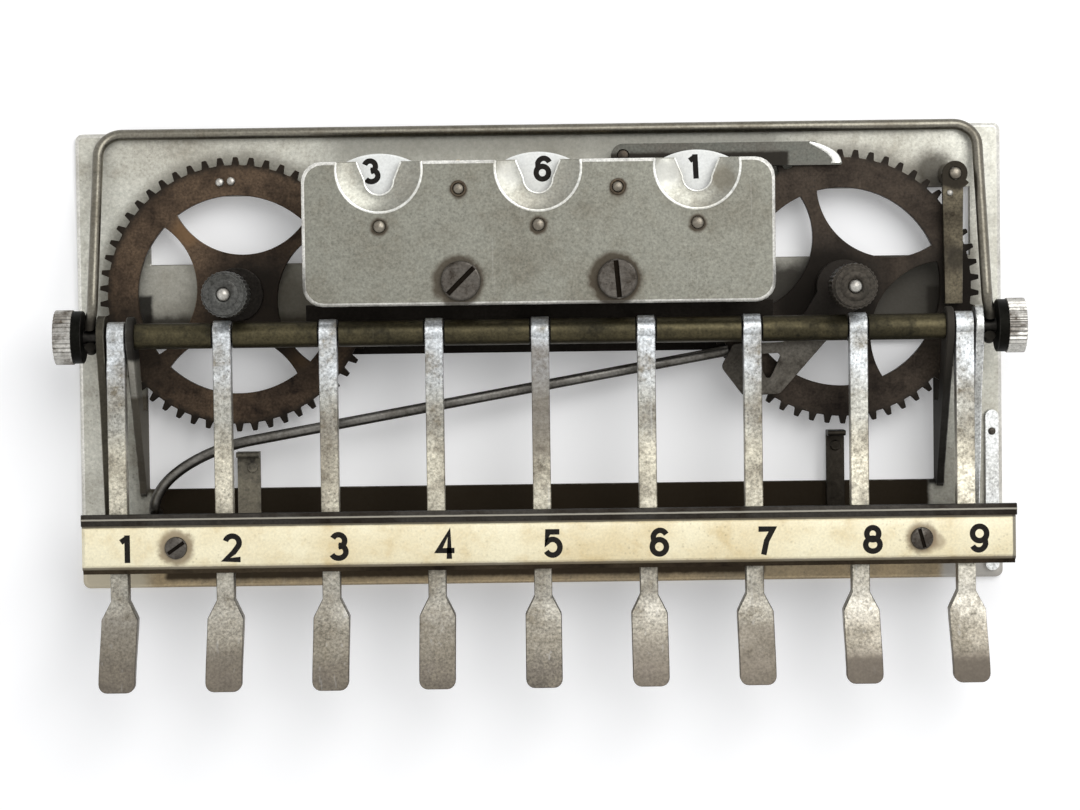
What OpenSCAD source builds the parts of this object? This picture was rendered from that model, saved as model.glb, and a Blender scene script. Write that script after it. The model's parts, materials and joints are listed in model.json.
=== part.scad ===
// Open-frame adding machine: one row of nine number keys, two toothed wheels
// and a three-digit read-out. Millimetres, Z up, keys toward -Y, flat underside
// at Z 0, origin under the middle of the whole outline.

/* [Base plate] */
// Width of the base plate
plate_w = 153.5; // [151:0.5:160]
// Depth of the base plate, front to rear
plate_d = 75.6; // [75.6:0.2:80]
// Thickness of the base plate
plate_t = 1.5; // [1.2:0.1:2]
// Bevel round the plate's top edge
plate_bevel = 0.5; // [0.3:0.1:0.8]
// Front to rear size of the two rear windows
rear_window_d = 12.3; // [10:0.1:13]

/* [Rod] */
// Diameter of the key rod
rod_d = 2.2; // [1.8:0.1:2.6]
// Height of the rod's axis above the underside
rod_h = 15; // [14.8:0.1:16]
// Outer diameter of the spacer tubes on the rod
spacer_d = 4.2; // [3.8:0.1:4.6]
// Diameter of the collars at the rod's ends
collar_d = 8.5; // [7.5:0.1:9]
// Diameter of the knurled nuts at the rod's ends
nut_d = 8.9; // [8:0.1:9.5]
// Length of a knurled nut
nut_l = 2.9; // [2:0.1:4]

/* [Keys] */
// Distance from one key to the next
key_pitch = 17.1; // [16.9:0.1:17.6]
// Width of a key's bar
key_w = 2.9; // [2.4:0.1:3.2]
// Height of a key's bar
key_h = 2.8; // [2.4:0.1:3]
// Distance from the rod's axis to the key's tip
key_reach = 56.9; // [54:0.1:62]
// Width of the finger paddle
paddle_w = 5.85; // [5:0.05:8]
// Length of the finger paddle
paddle_l = 11.3; // [9:0.1:13]
// Thickness of the paddle at its tip
paddle_t = 1.6; // [1.2:0.1:2.2]
// How far the paddle rises from neck to tip
paddle_rise = 5.4; // [0:0.1:7]
// Thickness of the web below the bar
web_t = 1.5; // [1:0.1:2]
// Depth of the web below the bar, at its front end
web_drop = 4.9; // [3:0.1:5]
// Full travel of a key, in degrees
key_travel = 7; // [5:0.5:7.5]

/* [Guide channel and number strip] */
// Front to rear size of the slotted channel
guide_d = 6.8; // [6.4:0.1:7.4]
// Sheet thickness of the channel
guide_t = 0.8; // [0.6:0.1:1]
// Length of the number strip
strip_l = 150; // [148:0.5:154]
// Front to rear size of the number strip
strip_d = 7.2; // [6.8:0.1:8]
// Thickness of the number strip
strip_t = 1.4; // [1:0.1:1.8]
// Head diameter of the strip's screws
strip_screw_d = 3.6; // [3:0.1:4]

/* [Bail] */
// Diameter of the bail's wire
wire_d = 1.8; // [1.5:0.1:2]
// Radius of the bail's two bends
bail_bend = 3.8; // [3:0.1:6]

/* [Toothed wheels] */
// Distance of each wheel's axis from the middle
wheel_x = 49.8; // [49.4:0.1:50.4]
// Thickness of a wheel
wheel_t = 1.5; // [1.2:0.1:1.6]
// Radius of the four openings' outer edge
opening_r = 16.3; // [14:0.1:17.5]
// Radius of the openings' inner edge
opening_inner_r = 6.6; // [6:0.1:8]
// Half angle that an opening spans
opening_half = 40; // [34:1:41]
// Outer diameter of the hub sleeves
sleeve_d = 4.4; // [4:0.1:5]
// Diameter of the fixed studs in the sleeves
wheel_stud_d = 3; // [2.6:0.1:3.2]
// Diameter of the setting knobs
knob_d = 7.4; // [6.4:0.1:8]
// Height of the setting knobs
knob_h = 7; // [5:0.1:8]

/* [Number discs and cover] */
// Distance from one number disc to the next
dial_pitch = 25.4; // [25.2:0.1:26]
// Diameter of a number disc
dial_d = 23.4; // [21:0.1:23.8]
// Thickness of a number disc
dial_t = 1; // [0.8:0.1:1.2]
// Diameter of the disc arbors' fixed studs
arbor_stud_d = 2; // [1.6:0.1:2.2]
// Width of the cover plate
cover_w = 75.6; // [73:0.1:78]
// Front to rear size of the cover plate
cover_d = 23.1; // [22:0.1:24]
// Thickness of the cover plate
cover_t = 1.4; // [1:0.1:1.8]
// Height of the cover plate's underside
cover_h = 19.6; // [18.8:0.1:21]
// Corner radius of the cover plate
cover_r = 3.2; // [2:0.1:5]
// Bevel round the cover plate's top edge
cover_bevel = 0.5; // [0.3:0.1:0.6]
// Radius of the scooped recess at each number window
scoop_r = 6.9; // [5:0.1:7.5]
// Depth of the scooped recess
scoop_depth = 0.7; // [0.4:0.1:0.9]
// Diameter of the cover's pillars
pillar_d = 5; // [4:0.1:5.4]
// Head diameter of the cover's screws
cover_screw_d = 6.4; // [5:0.1:7]

/* [Levers and springs] */
// Thickness of the drive lever
lever_t = 1.2; // [0.9:0.1:1.4]
// Width of the drive lever's lower arm
lever_arm_w = 3.3; // [2.6:0.1:3.6]
// Width of the long spring strip
spring_w = 1.3; // [1:0.1:1.6]
// Height of the long spring strip
spring_h = 1.2; // [0.9:0.1:1.3]
// Thickness of the lock lever
lock_t = 1; // [0.7:0.05:1]
// Thickness of the brass stop lever
stop_t = 1.2; // [1:0.1:1.6]
// Width of the brass stop lever
stop_w = 3.1; // [2.6:0.1:3.2]
// Thickness of the rocker arms beside the outer keys
arm_t = 1.3; // [1:0.1:1.5]
// Width of the flat strip on the right margin
edge_strip_w = 2.3; // [1.8:0.1:2.6]

/* [Hidden] */

$fn = 48;
// Overlap that keeps cuts clean
eps = 0.01;
// Radial running clearance of a bore on its pin
fit = 0.05;
// Side clearance between pieces that turn next to each other
side_gap = 0.25;
// Clearance between flat pieces that pass over each other
deck_gap = 0.3;

// The rod lies this far behind the datum
rod_set = 4.7;
// The plate's middle lies this far behind the datum
plate_set = 0.4;
// The lock lever's stud stands this far behind the datum
lock_set = 33.25;
// Half the lock lever's width
lock_half = 1.95;
// Clearance from the lock lever to the bail's wire at rest
bail_gap = 1.8;
// Rod's axis to the bail's outermost rear point
bail_reach = lock_set + lock_half + bail_gap + wire_d - rod_set;
// Rod's axis to the outline's rear end
rear_reach = max(bail_reach, plate_d / 2 + plate_set - rod_set);
// Position of the rod, which puts the outline's middle at Y 0
rod_y = (key_reach - rear_reach) / 2;
// Datum of the mechanism, close to the plate's middle
y0 = rod_y - rod_set;
// Middle of the base plate
plate_y = y0 + plate_set;

// Keys and what stands beside the outer ones, from inside outward
key_count = 9;
outer_key_x = (key_count - 1) / 2 * key_pitch;
cheek_t = 1.2;
cheek_out = outer_key_x - key_w / 2 - side_gap - 0.05;
cheek_in = cheek_out - cheek_t;
arm_in = outer_key_x + key_w / 2 + side_gap;
arm_out = arm_in + arm_t;
eye_in = arm_out + side_gap;
eye_out = eye_in + wire_d;
collar_in = eye_out + side_gap;
collar_l = 1.6;
collar_out = collar_in + collar_l;
nut_out = collar_out + nut_l;
rod_end = nut_out - 0.3;

// Heights of the keys' bars
bar_low = rod_h - 0.6;
bar_top = bar_low + key_h;
key_eye_r = max(2.4, rod_d / 2 + 1.2);
cheek_r = 3.2;
web_start = 17.2;

// Guide channel: walls, slots and strip
guide_y = y0 - 29.2;
guide_rear = guide_y + guide_d / 2;
guide_front = guide_y - guide_d / 2;
guide_top = bar_top + 1.4;
guide_half = nut_out - 5;
slot_gap = 0.4;
strip_x = 1;
strip_screw_x = [-58.8, 60.8];

// Front window of the base plate
window_front = guide_rear + 3.8;
window_rear = y0 + 1;
cheek_foot_end = y0 - 7.7;

// Wheels: 54 teeth, meshing with 10-tooth pinions
wheel_teeth = 54;
pinion_teeth = 10;
wheel_module = 0.83;
wheel_y = y0 + 11.3;
wheel_tip = wheel_module * (wheel_teeth / 2 + 0.95);
wheel_root = wheel_module * (wheel_teeth / 2 - 1.33);
pinion_tip = wheel_module * (pinion_teeth / 2 + 0.96);
pinion_root = wheel_module * (pinion_teeth / 2 - 1.32);
mesh_distance = wheel_module * (wheel_teeth + pinion_teeth) / 2;

// Discs and their carry gears
mesh_dx = wheel_x - dial_pitch;
mesh_dy = sqrt(pow(mesh_distance, 2) - pow(mesh_dx, 2));
mesh_angle = atan2(mesh_dy, mesh_dx);
dial_y = wheel_y + mesh_dy;
carry_teeth = 20;
transfer_teeth = 8;
carry_tip = carry_teeth / 2 + 0.95;
carry_root = carry_teeth / 2 - 1.25;
transfer_tip = transfer_teeth / 2 + 0.95;
transfer_root = transfer_teeth / 2 - 1.25;
carry_distance = (carry_teeth + transfer_teeth) / 2;
// Gap that opens the two-tooth carry, so that each disc also turns alone
carry_gap = 0.25;
sector_tip = carry_distance - transfer_tip - carry_gap;
sector_r = sector_tip - 1.4;
transfer_dy = sqrt(pow(carry_distance, 2) - pow(dial_pitch / 2, 2));
transfer_angle = atan2(transfer_dy, dial_pitch / 2);
transfer_y = dial_y + transfer_dy;
transfer_stud_d = 1.8;

// Heights, from the plate upward
wheel_z = plate_t + 2.7;
wheel_top = wheel_z + wheel_t;
pinion_z = wheel_z - 0.3;
pinion_h = wheel_t + 0.6;
lock_z = wheel_top + deck_gap;
carry_z = lock_z + 1.2;
carry_t = 1;
carry_step = 1.7;
spring_z = wheel_top + 0.6;
lever_z = wheel_top + 2.3;
stop_z = wheel_top + 1.3;
dial_z = cover_h - 0.8 - dial_t;
cover_top = cover_h + cover_t;
sleeve_top = cover_h + 0.4;
knob_top = sleeve_top + knob_h;

// Cover plate and what stands round it
cover_front = dial_y - 12.7;
cover_rear = cover_front + cover_d;
pillar_x = 12.5;
pillar_y = dial_y - 8.8;

// Long spring and its post at the left
spring_right = [31, y0 + 0.9];
spring_bend = [-49, y0 - 13.4];
spring_arc_r = 17;
spring_arc = 52;
post_d = 1.8;

// Bail: length of its arms and how far they tilt down at rest
bail_dy = bail_reach - wire_d / 2;
bail_dz = rod_h - plate_t - deck_gap - wire_d / 2;
bail_l = norm([bail_dy, bail_dz]);
bail_tilt = atan2(bail_dz, bail_dy);

// Where key i stands
function key_x(i) = (i - (key_count + 1) / 2) * key_pitch;

// Windows behind the wheels
rear_window_w = 33.5;
rear_window_x = wheel_x + 4.95;
rear_window_front = wheel_y + 4;

// Webs of the keys reach this deep into the channel's rear wall
web_end = rod_y - guide_rear + 0.5;

// Slots of the guide channel
slot_w = key_w + 2 * slot_gap;
rear_slot_z = rod_h - web_end * sin(key_travel)
    - (rod_h - bar_low + web_drop) * cos(key_travel) - 0.5;
front_slot_z = rod_h - (rod_y - guide_front) * sin(key_travel)
    - (rod_h - bar_low) * cos(key_travel) - 0.6;
arm_slot_z = plate_t + guide_t + 0.3;
arm_slot_w = arm_out - outer_key_x + key_w / 2 + 2 * slot_gap;
arm_slot_x = (arm_out + outer_key_x - key_w / 2) / 2;
strip_shank_r = 0.85;

// Side view of a key's bar and paddle, as (Y, Z), and its plan round X 0
neck_d = key_reach - paddle_l;
flare_l = 2.9;
rise_steps = 6;
key_side = concat(
    [[rod_y, bar_low]],
    [for (k = [0 : rise_steps])
        let (t = k / rise_steps)
        [
            rod_y - neck_d + flare_l - t * (paddle_l + flare_l),
            bar_top + paddle_rise * ease(t) - key_h + (key_h - paddle_t) * ease(t)
        ]],
    [for (k = [rise_steps : -1 : 0])
        let (t = k / rise_steps)
        [rod_y - neck_d + flare_l - t * (paddle_l + flare_l), bar_top + paddle_rise * ease(t)]],
    [[rod_y, bar_top]]
);
key_plan = rounded([
    [-key_w / 2, rod_y, 0], [-key_w / 2, rod_y - neck_d + flare_l, 0],
    [-paddle_w / 2, rod_y - neck_d, 0.8], [-paddle_w / 2, rod_y - key_reach, 1.4],
    [paddle_w / 2, rod_y - key_reach, 1.4], [paddle_w / 2, rod_y - neck_d, 0.8],
    [key_w / 2, rod_y - neck_d + flare_l, 0], [key_w / 2, rod_y, 0]
]);
arm_eye_r = 3.4;

// Universal bar under the keys' webs
bar_drop = 7.6;
bar_h = 2.5;
bar_w = 1;

// Cover plate's notches and screws, and the rail in front of it
notch_r = 2.35;
cover_shank_r = 1.2;
rail_half = 38;
rail_front = rod_y + 1.7;
rail_top = rod_h - 3;

// Course of the long spring
spring_heading = atan2(spring_bend[1] - spring_right[1], spring_bend[0] - spring_right[0]);
spring_start = spring_heading - 90;
spring_centre = spring_bend - spring_arc_r * [cos(spring_start), sin(spring_start)];
spring_end = spring_centre
    + spring_arc_r * [cos(spring_start + spring_arc), sin(spring_start + spring_arc)];
spring_post_at = spring_end
    + (post_d / 2 + 0.1) * [cos(spring_heading + spring_arc), sin(spring_heading + spring_arc)];

// Pins, levers and their reach
pin_ring_r = 18.6;
lever_tip = [-12.6, -16.8];
lock_at = [14, y0 + lock_set];
lock_pin_r = 1;
lock_reach = 36.5;
stop_at = [68.3, y0 + 29.6];
left_detent_x = -48;
right_detent_x = 48.8;
stop_pin_r = 1;
stop_reach = stop_at[1] - rod_y - cheek_r - 0.4;
edge_strip_x = guide_half + 0.5 + edge_strip_w / 2;
edge_strip_front = plate_y - plate_d / 2 + 1.2;
edge_strip_l = 26.8;

// Colours, as the pieces show
beige = [0.66, 0.62, 0.53];
steel = [0.62, 0.64, 0.66];
dark_steel = [0.25, 0.24, 0.25];
bronze = [0.36, 0.29, 0.21];
brass = [0.55, 0.44, 0.25];
olive = [0.38, 0.35, 0.25];
ivory = [0.90, 0.87, 0.78];
silver = [0.76, 0.77, 0.78];

// Rounded corner between a and c at b, as points on its arc
function corner_arc(a, b, c, r, n) =
    let (
        u = ([a[0], a[1]] - [b[0], b[1]]) / norm([a[0] - b[0], a[1] - b[1]]),
        v = ([c[0], c[1]] - [b[0], b[1]]) / norm([c[0] - b[0], c[1] - b[1]]),
        half = acos(u * v) / 2,
        mid = (u + v) / norm(u + v),
        centre = [b[0], b[1]] + mid * r / sin(half),
        from = [b[0], b[1]] + u * r / tan(half) - centre,
        to = [b[0], b[1]] + v * r / tan(half) - centre,
        start = atan2(from[1], from[0]),
        turn = atan2(to[1], to[0]) - start,
        sweep = turn > 180 ? turn - 360 : turn < -180 ? turn + 360 : turn
    )
    [for (k = [0 : n]) centre + r * [cos(start + sweep * k / n), sin(start + sweep * k / n)]];

// Closed outline whose corners [x, y, r] are each rounded to their own radius
function rounded(pts, n = 5) = [
    for (i = [0 : len(pts) - 1])
        let (
            before = pts[(i + len(pts) - 1) % len(pts)],
            after = pts[(i + 1) % len(pts)]
        )
        each pts[i][2] == 0
            ? [[pts[i][0], pts[i][1]]]
            : corner_arc(before, pts[i], after, pts[i][2], n)
];

// Rectangle from left to right and front to back, with rounded corners
function rounded_rect(left, right, front, back, r) =
    rounded([[left, front, r], [right, front, r], [right, back, r], [left, back, r]]);

// Toothed outline: teeth with straight flanks between the root and tip circles
function toothed(teeth, root_r, tip_r, root_w, tip_w, phase) = [
    for (i = [0 : teeth - 1])
        let (
            a = phase + i * 360 / teeth,
            root_a = asin(root_w / 2 / root_r),
            tip_a = asin(tip_w / 2 / tip_r)
        )
        each [
            root_r * [cos(a - root_a), sin(a - root_a)],
            tip_r * [cos(a - tip_a), sin(a - tip_a)],
            tip_r * [cos(a + tip_a), sin(a + tip_a)],
            root_r * [cos(a + root_a), sin(a + root_a)]
        ]
];

// Knurled round: fine V grooves all round
function knurl(r, count, depth) = [
    for (i = [0 : 2 * count - 1])
        let (a = i * 180 / count, q = i % 2 == 0 ? r : r - depth)
        q * [cos(a), sin(a)]
];

// Smooth step from 0 to 1
function ease(t) = t * t * (3 - 2 * t);

// Slab with a bevelled top edge, on a rounded rectangle
module bevelled_slab(left, right, front, back, r, z, t, bevel) {
    hull() {
        translate([0, 0, z])
            linear_extrude(t - bevel)
                polygon(rounded_rect(left, right, front, back, r));
        translate([0, 0, z])
            linear_extrude(t)
                polygon(rounded_rect(left + bevel, right - bevel, front + bevel, back - bevel, r - bevel / 2));
    }
}

// Profile drawn as (Y, Z) and extruded from x0 to x1
module across(x0, x1) {
    translate([x0, 0, 0])
        rotate([90, 0, 90])
            linear_extrude(x1 - x0)
                children();
}

// Cylinder along X, round the rod's axis
module on_rod(x0, x1, r) {
    translate([x0, rod_y, rod_h])
        rotate([0, 90, 0])
            cylinder(h = x1 - x0, r = r);
}

// Pin from z0 to z1 with a low domed top
module domed_pin(x, y, r, z0, z1, dome = 0.5) {
    translate([x, y, z0])
        rotate_extrude()
            polygon(concat(
                [[0, 0], [r, 0]],
                [for (k = [0 : 4]) [r * cos(k * 20), z1 - z0 - dome + dome * sin(k * 20)]],
                [[0, z1 - z0]]
            ));
}

// Screw head with a rounded rim and a driver's slot
module slotted_head(x, y, z, d, h, slot_w, turn) {
    translate([x, y, z])
        difference() {
            rotate_extrude()
                polygon([
                    [0, 0], [d / 2, 0], [d / 2, h - 0.3], [d / 2 - 0.1, h - 0.1],
                    [d / 2 - 0.35, h], [0, h]
                ]);
            rotate([0, 0, turn])
                translate([-d, -slot_w / 2, h * 0.45])
                    cube([2 * d, slot_w, h]);
        }
}

// Leaf that stands up from a flat tab at the window's front edge
module leaf_spring(x, w, leaf_y, leaf_top) {
    tab_z = plate_t + 1;
    translate([x - w / 2, guide_rear + 0.2, plate_t])
        cube([w, leaf_y - guide_rear - 0.2, 1]);
    across(x - w / 2, x + w / 2)
        polygon(rounded([
            [leaf_y - 0.9, plate_t, 0], [leaf_y, plate_t, 0.6],
            [leaf_y, leaf_top, 0.4], [leaf_y - 0.9, leaf_top, 0.4]
        ]));
    translate([x, leaf_y - 2.6, tab_z])
        cylinder(h = 0.5, r = 0.8);
}

// Cheek bent up from the window's edge: it carries the rod
module cheek(side) {
    x = side > 0 ? cheek_in : -cheek_out;
    across(x, x + cheek_t)
        polygon(rounded([
            [window_front, 0, 0],
            [cheek_foot_end, 0, 0],
            [cheek_foot_end, wheel_top + 0.6, 1],
            [rod_y + cheek_r * sin(24), rod_h - cheek_r * cos(24), 0],
            [rod_y - cheek_r * sin(28), rod_h + cheek_r * cos(28), 0],
            [window_front + 2.5, plate_t + 3.4, 2],
            [window_front, plate_t + 2.6, 1]
        ]));
    on_rod(x, x + cheek_t, cheek_r);
}

module base_plate() {
    color(beige)
        difference() {
            union() {
                bevelled_slab(-plate_w / 2, plate_w / 2, plate_y - plate_d / 2, plate_y + plate_d / 2,
                    1.2, 0, plate_t, plate_bevel);
                for (side = [-1, 1])
                    cheek(side);
            }
            translate([-cheek_in, window_front, -1])
                cube([2 * cheek_in, window_rear - window_front, plate_t + 2]);
            for (side = [-1, 1])
                translate([side * rear_window_x - rear_window_w / 2, rear_window_front, -1])
                    cube([rear_window_w, rear_window_d, plate_t + 2]);
            for (side = [-1, 1])
                on_rod(side * (cheek_in + cheek_t / 2) - cheek_t, side * (cheek_in + cheek_t / 2) + cheek_t,
                    rod_d / 2 + 0.02);
        }
}

module key_guide() {
    wall_h = guide_top - plate_t;
    color(bronze)
        difference() {
            union() {
                translate([-guide_half, guide_front, plate_t])
                    cube([2 * guide_half, guide_d, guide_t]);
                for (y = [guide_front, guide_rear - guide_t])
                    translate([-guide_half, y, plate_t])
                        cube([2 * guide_half, guide_t, wall_h]);
                for (x = strip_screw_x)
                    translate([x - 2.5, guide_front, guide_top - 1.2])
                        cube([5, guide_d, 1.2]);
            }
            // Slots for the keys: deep in the rear wall, shallow in the front one
            for (i = [1 : key_count]) {
                translate([key_x(i) - slot_w / 2, guide_rear - 1.5 * guide_t, rear_slot_z])
                    cube([slot_w, 2 * guide_t, guide_top]);
                translate([key_x(i) - slot_w / 2, guide_front - guide_t, front_slot_z])
                    cube([slot_w, 2.5 * guide_t, guide_top]);
            }
            // Room beside the outer keys for the rocker arms
            for (side = [-1, 1])
                translate([side * arm_slot_x - arm_slot_w / 2, guide_rear - 1.5 * guide_t, arm_slot_z])
                    cube([arm_slot_w, 2 * guide_t, guide_top]);
            for (x = strip_screw_x)
                translate([x, guide_y, guide_top - 3])
                    cylinder(h = 6, r = strip_shank_r + 0.02);
        }
}

module number_strip() {
    h = strip_d / 2;
    color(ivory)
        difference() {
            intersection() {
                across(strip_x - strip_l / 2, strip_x + strip_l / 2)
                    polygon([
                        [guide_y - h, guide_top], [guide_y + h, guide_top],
                        [guide_y + h, guide_top + strip_t - 0.6],
                        [guide_y + h - 0.6, guide_top + strip_t],
                        [guide_y - h + 0.9, guide_top + strip_t],
                        [guide_y - h, guide_top + strip_t - 0.9]
                    ]);
                translate([strip_x, guide_y + strip_d, guide_top])
                    rotate([90, 0, 0])
                        linear_extrude(2 * strip_d)
                            polygon([
                                [-strip_l / 2, 0], [strip_l / 2, 0],
                                [strip_l / 2, strip_t - 0.6], [strip_l / 2 - 0.6, strip_t],
                                [0.6 - strip_l / 2, strip_t], [-strip_l / 2, strip_t - 0.6]
                            ]);
            }
            for (x = strip_screw_x)
                translate([x, guide_y, guide_top - 1])
                    cylinder(h = strip_t + 2, r = strip_shank_r + 0.02);
        }
}

module strip_screws() {
    color(bronze)
        for (k = [0, 1])
            union() {
                slotted_head(strip_screw_x[k], guide_y, guide_top + strip_t, strip_screw_d, 0.7,
                    0.6, 35 + 70 * k);
                translate([strip_screw_x[k], guide_y, guide_top - 1.2])
                    cylinder(h = strip_t + 1.2, r = strip_shank_r);
            }
}

module key_rod() {
    color(steel)
        on_rod(-rod_end, rod_end, rod_d / 2);
}

module rod_spacers() {
    color(olive)
        for (i = [1 : key_count - 1]) {
            from = i == 1 ? -cheek_in : key_x(i) + key_w / 2 + side_gap;
            to = i == key_count - 1 ? cheek_in : key_x(i + 1) - key_w / 2 - side_gap;
            difference() {
                on_rod(from, to, spacer_d / 2);
                on_rod(from - 1, to + 1, rod_d / 2 + 0.02);
            }
        }
}

module rod_collar(side) {
    from = side > 0 ? collar_in : -collar_out;
    color(dark_steel)
        difference() {
            on_rod(from, from + collar_l, collar_d / 2);
            on_rod(from - 1, from + collar_l + 1, rod_d / 2 + 0.02);
        }
}

module left_rod_collar() rod_collar(-1);

module right_rod_collar() rod_collar(1);

module rod_nut(side) {
    from = side > 0 ? collar_out : -nut_out;
    color(silver)
        difference() {
            translate([from, rod_y, rod_h])
                rotate([0, 90, 0])
                    linear_extrude(nut_l)
                        polygon(knurl(nut_d / 2, 36, 0.25));
            on_rod(from - 1, from + nut_l + 1, rod_d / 2 + 0.02);
        }
}

module left_rod_nut() rod_nut(-1);

module right_rod_nut() rod_nut(1);

module wheel_studs() {
    color(silver)
        for (side = [-1, 1])
            union() {
                domed_pin(side * wheel_x, wheel_y, wheel_stud_d / 2, plate_t, knob_top + 1, 0.9);
                translate([side * wheel_x, wheel_y, plate_t])
                    cylinder(h = wheel_z - deck_gap - plate_t, r = sleeve_d / 2 + 0.6);
            }
}

module arbor_studs() {
    color(silver) {
        for (x = [-dial_pitch, 0, dial_pitch])
            union() {
                domed_pin(x, dial_y, arbor_stud_d / 2, plate_t, cover_top + 0.5);
                translate([x, dial_y, plate_t])
                    cylinder(h = pinion_z - deck_gap - plate_t, r = 2.4);
            }
        for (side = [-1, 1])
            union() {
                domed_pin(side * dial_pitch / 2, transfer_y, transfer_stud_d / 2, plate_t, cover_top + 0.4);
                translate([side * dial_pitch / 2, transfer_y, plate_t])
                    cylinder(h = (side > 0 ? carry_z : carry_z + 2 * carry_step) - deck_gap - plate_t, r = 1.9);
            }
    }
}

module cover_plate() {
    color(steel)
        difference() {
            bevelled_slab(-cover_w / 2, cover_w / 2, cover_front, cover_rear, cover_r, cover_h,
                cover_t, cover_bevel);
            for (x = [-dial_pitch, 0, dial_pitch]) {
                // Scooped recess with an open notch in front of the digit
                translate([x, cover_rear - 1.3, cover_top - scoop_depth])
                    cylinder(h = cover_t, r = scoop_r);
                translate([x, cover_rear - 3, cover_h - 1])
                    cylinder(h = cover_t + 2, r = notch_r);
                translate([x, cover_rear - 3, cover_h - 1])
                    linear_extrude(cover_t + 2)
                        polygon([[-notch_r, 0], [notch_r, 0], [notch_r * 1.7, 4], [-notch_r * 1.7, 4]]);
                translate([x, dial_y, cover_h - 1])
                    cylinder(h = cover_t + 2, r = arbor_stud_d / 2 + 0.05);
            }
            for (side = [-1, 1]) {
                translate([side * dial_pitch / 2, transfer_y, cover_h - 1])
                    cylinder(h = cover_t + 2, r = transfer_stud_d / 2 + 0.05);
                translate([side * pillar_x, pillar_y, cover_h - 1])
                    cylinder(h = cover_t + 2, r = cover_shank_r + 0.05);
            }
        }
}

module cover_pillars() {
    color(brass)
        for (side = [-1, 1])
            difference() {
                translate([side * pillar_x, pillar_y, plate_t])
                    cylinder(h = cover_h - plate_t, r = pillar_d / 2);
                translate([side * pillar_x, pillar_y, cover_h - 5])
                    cylinder(h = 6, r = cover_shank_r + 0.05);
            }
}

module cover_screws() {
    color(bronze)
        for (side = [-1, 1])
            union() {
                slotted_head(side * pillar_x, pillar_y, cover_top, cover_screw_d, 1.1, 0.8,
                    side > 0 ? 95 : 45);
                translate([side * pillar_x, pillar_y, cover_h - 4])
                    cylinder(h = cover_t + 4.2, r = cover_shank_r);
            }
}

module dial_rail() {
    color(dark_steel) {
        translate([-rail_half, rail_front, rail_top - 2])
            cube([2 * rail_half, 3, 2]);
        for (side = [-1, 1])
            translate([side * 20, rail_front + 1.5, plate_t])
                cylinder(h = rail_top - 1 - plate_t, r = 1.1);
    }
}

module return_spring() {
    color(steel)
        translate([0, 0, spring_z])
            linear_extrude(spring_h) {
                translate(spring_bend)
                    rotate(spring_heading + 180)
                        translate([-eps, -spring_w / 2])
                            square([norm(spring_right - spring_bend) + eps, spring_w]);
                translate(spring_centre)
                    intersection() {
                        difference() {
                            circle(spring_arc_r + spring_w / 2, $fn = 96);
                            circle(spring_arc_r - spring_w / 2, $fn = 96);
                        }
                        polygon([
                            [0, 0],
                            2 * spring_arc_r * [cos(spring_start), sin(spring_start)],
                            2 * spring_arc_r * [cos(spring_start + spring_arc), sin(spring_start + spring_arc)]
                        ]);
                    }
            }
}

module spring_post() {
    color(silver)
        domed_pin(spring_post_at[0], spring_post_at[1], post_d / 2, plate_t, spring_z + spring_h + 0.8);
}

module left_detent() {
    color(silver)
        leaf_spring(left_detent_x, 2.5, y0 - 14.8, plate_t + 3.2);
}

module right_detent() {
    color(steel)
        leaf_spring(right_detent_x, 3, y0 - 12.4, wheel_top - 0.2);
}

module lock_stud() {
    color(silver)
        union() {
            domed_pin(lock_at[0], lock_at[1], lock_pin_r, plate_t, lock_z + lock_t + 0.1, 0.3);
            translate([lock_at[0], lock_at[1], plate_t])
                cylinder(h = lock_z - deck_gap - plate_t, r = 1.8);
        }
}

module stop_stud() {
    color(silver)
        union() {
            domed_pin(stop_at[0], stop_at[1], stop_pin_r, plate_t, stop_z + stop_t + 0.6);
            translate([stop_at[0], stop_at[1], plate_t])
                cylinder(h = stop_z - deck_gap - plate_t, r = 2);
        }
}

module edge_strip() {
    color(silver)
        translate([edge_strip_x, edge_strip_front, plate_t])
            union() {
                translate([-edge_strip_w / 2, edge_strip_w / 2, 0])
                    cube([edge_strip_w, edge_strip_l - edge_strip_w, 1]);
                for (y = [edge_strip_w / 2, edge_strip_l - edge_strip_w / 2])
                    translate([0, y, 0])
                        cylinder(h = 1, r = edge_strip_w / 2);
            }
}

// One key: eye on the rod, bar, web that runs in the guide, and finger paddle
module key(i) {
    x = key_x(i);
    color(i % 2 == 0 ? [0.50, 0.49, 0.47] : [0.53, 0.51, 0.48])
        difference() {
            union() {
                intersection() {
                    across(x - paddle_w / 2, x + paddle_w / 2)
                        polygon(key_side);
                    translate([x, 0, 0])
                        linear_extrude(3 * rod_h)
                            polygon(key_plan);
                }
                across(x - web_t / 2, x + web_t / 2)
                    polygon(rounded([
                        [rod_y - web_start, bar_low + 0.5, 0],
                        [rod_y - web_start, bar_low, 0],
                        [rod_y - web_start - 7, bar_low - web_drop * 0.45, 8],
                        [rod_y - web_end, bar_low - web_drop, 0.6],
                        [rod_y - web_end, bar_low + 0.5, 0]
                    ]));
                on_rod(x - key_w / 2, x + key_w / 2, key_eye_r);
            }
            on_rod(x - key_w, x + key_w, rod_d / 2 + fit);
        }
}

module key_1() key(1);

module key_2() key(2);

module key_3() key(3);

module key_4() key(4);

module key_5() key(5);

module key_6() key(6);

module key_7() key(7);

module key_8() key(8);

module key_9() key(9);

module universal_bar() {
    color(dark_steel)
        translate([-arm_in, guide_y - 0.1 - bar_w / 2, rod_h - bar_drop])
            cube([2 * arm_in, bar_w, bar_h]);
}

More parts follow.
